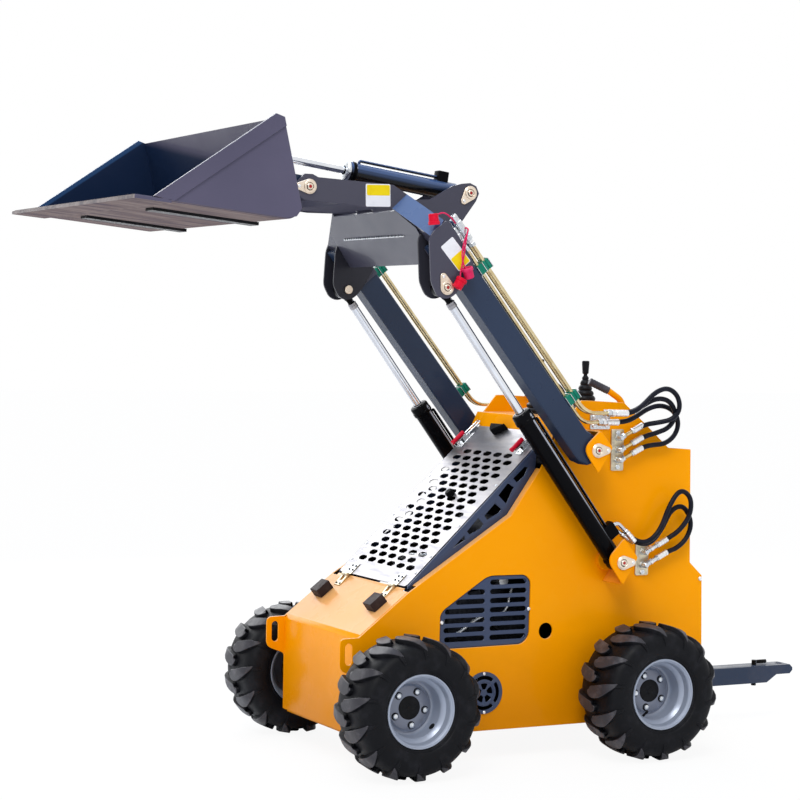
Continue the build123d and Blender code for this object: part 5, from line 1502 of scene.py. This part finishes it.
STRAPS = [[(412, -251, 1735), (411, -262, 1702), (412, -268, 1660), (416, -262, 1630), (423, -253, 1616)],
          [(412, -251, 1735), (411, -256, 1700), (411, -262, 1656), (414, -272, 1618), (420, -279, 1590)],
          [(400, -356, 1790), (398, -330, 1796), (392, -300, 1782), (389, -276, 1758), (389, -262, 1748)],
          [(389, -262, 1748), (398, -250, 1752), (408, -246, 1746), (412, -251, 1735)]]
LOOP = [(0, 14.0), (0, 17.0), (6, 17.0), (6, 14.0)]
cap_parts = [(dust_cap((394, -364, 1775), (0.0, 0.12, -1.0)), cap_plastic),
             (dust_cap((421, -281, 1573), (0.1, 0.5, 0.86)), cap_plastic),
             (dust_cap((424, -251, 1607), (0.1, -0.35, 0.93)), strap_plastic)]
cap_parts += [(swept(smooth_through(strap, 8), 2.6, 10), strap_plastic) for strap in STRAPS]
cap_parts.append((turned(LOOP, on_arm(365, 812, TUBE_BACK), ARM_UP, 32, closed=True), strap_plastic))
piece("dust_caps_and_straps", cap_parts, "arms")
print("straps:", len(STRAPS))

# %% Blank labels
label_white = moulded("label_white", srgb(236, 236, 240), srgb(222, 222, 228), 0.32)
label_yellow = moulded("label_yellow", srgb(242, 214, 24), srgb(230, 198, 14), 0.32)


def label(corner, along, across, width, height, low, high):
    """A label with rounded corners from its corner, width along and height across, between two x."""
    a, b = unit(along), unit(across)
    c = np.asarray(corner, float)
    box = [c, c + width * a, c + width * a + height * b, c + height * b]
    return side_sheet([rounded(box, 5.0)], low, high, 1, 0.15)


level_way, steep_way = (1, 0.03), (-0.03, 1)
long_way, short_way = np.array([0.669, -0.743]), np.array([-0.771, -0.637])
corner = np.array([-300, 1722])
inner = corner + 53 * long_way + 2 * short_way
label_parts = [(label((-522, 1816), level_way, steep_way, 89, 73, 225.0, 225.6), label_white),
               (label((-519, 1852), level_way, steep_way, 83, 34, 225.5, 225.9), label_yellow),
               (label(corner, long_way, short_way, 102, 55, 403.2, 403.8), label_white),
               (label(inner, long_way, short_way, 47, 51, 403.7, 404.1), label_yellow)]
piece("blank_labels", label_parts, "arms")
print("labels:", len(label_parts))

# %% [markdown]
# ## Latches, hinges and screws of the hood
#
# Two draw latches hold the lid's upper end: a zinc base, a lever folded over it, a hook ring and a red
# grip. The lid turns on two zinc leaf hinges at its foot. Flat sheets and thin bars are enough, as long
# as every part has its own thickness and the screws are really there.

# %% Draw latches
LATCH_GRIP = [(0, 0), (0, 6.4), (2, 7.8), (50, 7.2), (54, 8.6), (58, 8.6), (60, 6.5), (60, 0)]


def draw_latch(x, run):
    """One latch whose lever's hinge end is at x and run on the lid."""
    plate = rounded(rectangle(x - 17, x + 17, run - 4, run + 74), 4.0)
    made = [(lid_sheet(plate, 0.0, 2.4, 0.5), bright_zinc)]
    for dx, dr in ((-10, 8), (10, 8), (-10, 62), (10, 62)):
        made.append((round_bolt(on_lid(x + dx, run + dr, 2.4), LID_OUT, 4.0, 2.6), sleeve_white))
    cheek = [(run + 22, 2.0), (run + 58, 2.0), (run + 52, 20.0), (run + 34, 24.0), (run + 26, 16.0)]
    for dx in (-13.0, 11.0):
        shell = sheet_cut([rounded(cheek, 3.0, 3)], on_lid(x + dx, 0), LID_UP, LID_OUT, 0.0, 2.0, 0.4)
        made.append((shell, bright_zinc))
    lever = rounded([(x - 10, run - 2), (x + 10, run - 2), (x + 12, run + 50), (x - 12, run + 50)], 4.0)
    made.append((lid_sheet(lever, 17.0, 20.0, 0.6), stainless))
    made.append((bar(on_lid(x - 16, run + 42, 14), on_lid(x + 16, run + 42, 14), 4.0, 18), bright_zinc))
    ring = bent_tube([on_lid(x - 11, run + 44, 16), on_lid(x - 11, run + 118, 12),
                      on_lid(x + 11, run + 118, 12), on_lid(x + 11, run + 44, 16)], 8.0)
    made.append((swept(ring, 2.6, 10, LID_OUT), bright_zinc))
    hook = rounded(rectangle(x - 15, x + 15, run + 92, run + 108), 3.0)
    made.append((lid_sheet(hook, 0.0, 8.0, 0.8), bright_zinc))
    made.append((turned(LATCH_GRIP, on_lid(x, run + 46, 27), -LID_UP + 0.02 * LID_OUT, 24), cap_plastic))
    return made


piece("hood_draw_latches", draw_latch(-222.0, 622.0) + draw_latch(195.0, 618.0), "hood")
wedge = rounded([(-104, 726), (-4, 726), (-34, 704), (-62, 688), (-84, 700)], 8.0)
piece("hood_pull_handle", [(lid_sheet(wedge, 0.0, 26.0, 4.0), dull_black)], "hood")
print("parts of a latch:", len(draw_latch(0.0, 0.0)))

# %% Hinge screws and the strip at the deck's edge
DECK_FOOT = np.array([0.0, -376.0, 573.0])
DECK_UP, DECK_OUT = np.array([0.0, 0.7913, 0.6114]), np.array([0.0, -0.6114, 0.7913])
hinge_parts, mount_parts = [], []
for x in (-HINGE_X, HINGE_X):
    for dx, run in ((-12, 14), (12, 14), (-12, 32), (12, 32)):
        hinge_parts.append((round_bolt(on_lid(x + dx, run, 3.0), LID_OUT, 4.6, 3.0), dark_metal))
    for dx in (-13, 13):
        foot = DECK_FOOT + (x + dx, 0.0, 0.0) - 36.0 * DECK_UP
        mount_parts.append((round_bolt(foot + 3.0 * DECK_OUT, DECK_OUT, 4.2, 3.0), dark_metal))
piece("hinge_screws", hinge_parts, "hood")
foot_strip = [(-380, 569.5), (-376, 572.6), (-367.5, 579.4), (-365.5, 577.0)]
mount_parts.append((side_sheet([foot_strip], -246.0, 246.0, 1, 0.4), body_paint))
piece("deck_edge_strip", mount_parts, "chassis")
print("hinge screws:", len(hinge_parts) + len(mount_parts) - 1)

# %% Screws of the vents and covers
COVER = (-90.0, 228.0)
vent_parts = []
for side, _ in SIDES:
    out = (side, 0, 0)
    for y, z in ((-251, 467), (78, 499)):
        vent_parts.append((round_bolt((side * 289.0, y, z), out, 6.5, 4.0), sleeve_white))
    for angle in np.radians([91, 271]):
        spot = (side * 295.0, COVER[0] + 64 * math.cos(angle), COVER[1] + 64 * math.sin(angle))
        vent_parts.append((round_bolt(spot, out, 5.5, 3.5), sleeve_white))
    vent_parts.append((round_bolt((side * 291.0, 766, 576), out, 8.0, 7.0), sleeve_white))
piece("body_side_screws", vent_parts, "chassis")
print("screws in the sides:", len(vent_parts))

# %% [markdown]
# ## Vents and covers
#
# Each side has a slotted panel and a round cover with holes, both dark blue-grey. Painted bars would
# stay flat in a low view, so both are sheets with real openings, like the lid.

# %% Outlines of the vents and covers
VENT_OUTLINE = np.array([(-80, 616), (61, 615), (83, 594), (81, 409), (54, 383), (-240, 380), (-259, 398),
                         (-258, 493), (-245, 510)], float)
VENT_REACH = [24, 16, 16, 18, 18, 20, 20, 10, 10]
SLOT_LOW, SLOT_PITCH, SLOT_WIDTH, SLOT_END = 410.0, 30.5, 17.0, -90.0
vent_edge = rounded(VENT_OUTLINE * 0.985 + (-1.3, 7.4), VENT_REACH, 7)
vent_slots = [slot_hole(-1.0, SLOT_LOW + SLOT_PITCH * row, 138.0, SLOT_WIDTH, 9) for row in range(7)]
for row, first in enumerate((-240.0, -243.0, -243.0, -239.0, -199.0, -157.0)):
    vent_slots.append(slot_hole((first + SLOT_END) / 2, SLOT_LOW + SLOT_PITCH * row, SLOT_END - first,
                                SLOT_WIDTH, 9))
rim_edge = rounded(VENT_OUTLINE * 1.06 + (5.3, -29.5), 20.0, 7)
rim_hole = rounded(VENT_OUTLINE * 0.93 + (-5.9, 34.6), 16.0, 7)


def arc_slot(middle, half_turn, inner, outer, steps=9):
    """Outline of a curved slot between two radii round the cover's centre."""
    angle = np.radians(np.linspace(middle - half_turn, middle + half_turn, steps))
    ring = np.concatenate([np.stack([outer * np.cos(angle), outer * np.sin(angle)], -1),
                           np.stack([inner * np.cos(angle), inner * np.sin(angle)], -1)[::-1]])
    return rounded(ring + COVER, 3.0, 3)


cover_holes = [arc_slot(middle, 38.0, 45.0, 57.0) for middle in (0, 90, 180, 270)]
cover_holes += [arc_slot(middle, 24.0, 12.0, 32.0, 5) for middle in (18, 90, 162, 234, 306)]
print("slots in a vent:", len(vent_slots), " holes in a cover:", len(cover_holes))

# %% Vent panels and round covers
COVER_RING = [(0, 35.5), (0, 41.5), (1.6, 40.6), (2.2, 38.5), (1.6, 36.4)]
for side, name in SIDES:
    parts = [(side_sheet([vent_edge] + vent_slots, 284.6, 289.0, side, 1.2), vent_paint),
             (side_sheet([rim_edge, rim_hole], 281.0, 284.0, side, 0.6), vent_paint),
             (side_sheet([circle(*COVER, 70.0, 72)] + cover_holes, BODY_HALF, 295.0, side, 1.0), vent_paint),
             (turned(COVER_RING, (side * 294.6, *COVER), (side, 0, 0), 64, closed=True), vent_paint)]
    piece("vent_and_cover_" + name, parts, "chassis", ["side_grilles"])
print("sheets of a vent and its cover:", len(parts))

# %% [markdown]
# ## Side plates
#
# Each side of the body is one plate with openings for the vent, the cover and the pins, and at its front
# a round ear with a slot to tie the machine down. A bevelled copy of the CAD node would keep the ear's
# cut-off corners, so the plate is cut anew, with a reach for each corner. A narrow ledge stands inside it.

# %% Side plates with their ears, and the ledge beside the hood


def bent_plate(line, thick):
    """Outline of a plate of the given thickness to the left of a line of (y, z) points; at each bend
    the second line runs through the corner, 2 / |n1 + n2|^2 (n1 + n2) times the thickness away."""
    line = np.asarray(line, float)
    ahead = unit(np.diff(line, axis=0))
    normal = np.stack([-ahead[:, 1], ahead[:, 0]], -1)
    both = np.concatenate([normal[:1], normal]) + np.concatenate([normal, normal[-1:]])
    away = 2.0 * both / np.sum(both * both, axis=1, keepdims=True)
    return np.concatenate([line, (line + thick * away)[::-1]])


SIDE_OUTLINE = [(-553, 114), (-553, 304), (-620, 330), (-620, 432), (-553, 433), (-376, 571), (4, 814),
                (113, 967), (175, 1083), (268, 1195), (297, 1195), (438, 1188), (522, 1119), (623, 1033),
                (716, 1027), (723, 634), (774, 587), (780, 339), (780, 102), (-530, 102)]
SIDE_REACH = [3, 12, 22, 20] + [3] * 16
side_loops = [rounded(SIDE_OUTLINE, SIDE_REACH, 7), rounded(VENT_OUTLINE, VENT_REACH, 7),
              circle(*COVER, 62.0, 48), circle(145, 423, 27.0, 40), circle(*ARM_PIN, PIN_R),
              circle(*LIFT_BASE, PIN_R), slot_hole(381.0, -589.0, 70.0, 25.0, 9)[:, ::-1]]
ledge = bent_plate([(-345.7, 590.4), (4, 814), (113, 967)], -4.0)
for side, name in SIDES:
    parts = [(side_sheet(side_loops, 284.0, BODY_HALF, side, 1.2), body_paint),
             (side_sheet([ledge], 259.0, 284.6, side, 0.8), body_paint)]
    piece("side_plate_with_ear_" + name, parts, "chassis", ["side_plate_" + name])
print("openings in a side plate:", len(side_loops) - 1)

# %% [markdown]
# ## The back door and the panel between the levers
#
# The operator stands behind the machine, where such loaders have a louvred door to the engine and a
# small panel with a gauge, a key and a button. Both could be painted on. As flat sheets with turned parts
# they have real edges, and a black sheet of painted shade behind the louvres makes them read as openings.

# %% Door at the back
DOOR_FOOT, DOOR_UP = np.array([0.0, 723.0, 634.0]), np.array([0.0, -7.0, 388.0])
DOOR_LEAN = 0.018
DOOR_OUT = np.array([0.0, 1.0, DOOR_LEAN])
DOOR_KNOB = [(0, 0), (0, 17), (2, 16), (2, 9), (8, 9), (9, 7.5), (9, 0)]


def on_door(x, z, out):
    """A point of the door, z above its foot and out from the back plate."""
    return DOOR_FOOT + np.array([x, out - DOOR_LEAN * z, z])


door = rounded(rectangle(-214, 214, 26, 352), 18.0)
shade = rounded(rectangle(-190, 190, 70, 280), 8.0)
louvres = [slot_hole(x, 110.0 + 26.0 * row, 130.0, 9.0) for row in range(6) for x in (-80.0, 80.0)]
# painted shade: a black sheet behind the louvres stands for the dark inside
door_parts = [(sheet_cut([shade], DOOR_FOOT, (1, 0, 0), DOOR_UP, -0.9, -0.1, 0.2), hub_black),
              (sheet_cut([door] + louvres, DOOR_FOOT, (1, 0, 0), DOOR_UP, -3.5, -1.0, 0.8), body_paint)]
door_parts += [(round_bolt(on_door(x, z, 3.4), DOOR_OUT, 7.0, 4.0), sleeve_white)
               for x in (-196.0, 196.0) for z in (44.0, 189.0, 334.0)]
door_parts.append((turned(DOOR_KNOB, on_door(0.0, 318.0, 3.0), DOOR_OUT, 32), black_plastic))
piece("back_door", door_parts, "chassis")
print("louvres in the back door:", len(louvres))

# %% Panel between the levers
# each turned part: place in x and y, profile, sides, finish
PANEL_PARTS = [
    (-28, 348, [(5, 0), (5, 25), (10, 25), (12, 23), (12, 20), (9.5, 19), (9.5, 0)], 40, bright_zinc),
    (-28, 348, [(9, 0), (9, 18.8), (9.8, 18.8), (9.8, 0)], 32, label_white),
    (32, 330, [(5, 0), (5, 12), (9, 12), (10, 10), (14, 9), (14, 0)], 28, bright_zinc),
    (34, 376, [(24, 0), (24, 8), (28, 12), (38, 12), (41, 9), (42, 0)], 28, cap_plastic)]
panel = [(block(-70, 70, 296, 400, CONSOLE_Z, CONSOLE_Z + 5.0, 1.5), black_plastic),
         (block(28, 36, 322, 338, CONSOLE_Z + 13.0, CONSOLE_Z + 24.0, 1.0), black_plastic),
         (bar((34, 376, CONSOLE_Z + 4.0), (34, 376, CONSOLE_Z + 26.0), 4.0, 16), bright_zinc)]
panel += [(turned(profile, (x, y, CONSOLE_Z), (0, 0, 1), sides), finish)
          for x, y, profile, sides, finish in PANEL_PARTS]
piece("console_panel", panel, "chassis")
print("parts of the panel:", len(panel))

# %% [markdown]
# ## Engine parts
#
# Through the slots and holes one sees little more than glints, so a modelled engine would be wasted. A
# dozen plain bars, blocks and bent tubes of the right size and finish give the same glints.

# %% Engine parts behind the vents and the lid
# each bent tube: route, radius of its bends, its own radius, sides, finish
ENGINE_TUBES = [
    ([(190, -236, 408), (204, -150, 410), (204, -60, 470), (204, 40, 476), (190, 70, 560)], 30.0, 6.0, 14,
     bright_zinc),
    ([(206, 60, 404), (206, -10, 430), (206, -40, 520), (190, -60, 590)], 26.0, 7.0, 14, black_plastic),
    ([(-40, -250, 560), (60, -230, 640), (150, -60, 700), (150, 90, 700)], 60.0, 13.0, 18, black_plastic),
    ([(-160, -220, 520), (-120, -210, 650), (40, -180, 660), (90, 60, 660)], 50.0, 8.0, 16, bright_zinc)]
engine_parts = [(bar((120, 24, 586), (214, 24, 586), 18.0, 32), sleeve_white),
                (bar((150, -92, 300), (176, -92, 300), 86.0, 48), dark_metal),
                (bar((176, -92, 300), (186, -92, 300), 60.0, 48), bright_zinc),
                (block(152, 196, -228, -188, 446, 486, 3.0), stainless),
                (bar((-110, 60, 742), (118, 60, 742), 52.0, 40, 6.0), dark_metal),
                (bar((-70, -150, 560), (-70, -150, 650), 74.0, 48, 8.0), black_plastic),
                (bar((96, -120, 560), (96, -120, 640), 34.0, 32, 4.0), stainless)]
engine_parts += [(swept(bent_tube(route, bend), radius, sides), finish)
                 for route, bend, radius, sides, finish in ENGINE_TUBES]
piece("engine_parts", engine_parts, "chassis")
print("engine parts:", len(engine_parts))

# %% [markdown]
# ## The bucket
#
# The bucket is one bent plate between two side plates, with a bar welded along each side's upper edge,
# a lip plate in front and two wear bars under the floor. A bent plate is a line and a second line at
# its own thickness beside it, joined into one outline and drawn out across the machine.

# %% Bent plate, sides, lip and wear bars
SHELL_LINE = [(0, -1440, 1791), (0, -1130, 1762), (0, -940, 1744), (0, -908, 1776), (0, -972, 2049)]
LIP_LINE = [(-1444, 1786.5), (-1330, 1776.5)]
SIDE_FRONT, SIDE_TOP = [(-1384, 1795), (-1330, 1783)], [(-974, 2047), (-1002, 2056)]
BUCKET_SIDE = SIDE_FRONT + [(-1130, 1764), (-960, 1748), (-928, 1754), (-911, 1778)] + SIDE_TOP
BUCKET_BAND = SIDE_FRONT + [(-1322, 1782.3), (-971, 2020), (-967.7, 2020)] + SIDE_TOP
WEAR_X, WEAR_HALF = 300.0, 32.0
FLOOR_WAY = unit([310.0, -29.0])


def under_floor(run):
    """A point 9 mm below the floor's lower face, run millimetres behind its front edge."""
    return np.array([-1440.0, 1782.0]) + run * FLOOR_WAY


shell_line = bent_tube(SHELL_LINE, 24.0)[:, 1:]
wear = bent_plate([under_floor(150.0), under_floor(500.0)], 10.0)
parts = [(side_sheet([bent_plate(shell_line, 8.0)], -575.0, 575.0, 1, 0.8), bucket_paint),
         (side_sheet([bent_plate(LIP_LINE, 10.0)], -588.0, 588.0, 1, 0.8), bucket_paint)]
for side, _ in SIDES:
    middle = side * WEAR_X
    parts += [(side_sheet([BUCKET_SIDE], 575.2, 583.0, side, 1.0), bucket_paint),
              (side_sheet([BUCKET_BAND], 583.2, 588.0, side, 1.0), bucket_paint),
              (side_sheet([wear], middle - WEAR_HALF, middle + WEAR_HALF, 1, 1.0), black_plastic)]
piece("bucket_plates", parts, "bucket", ["bucket_shell"])
print("bucket plates:", len(parts))
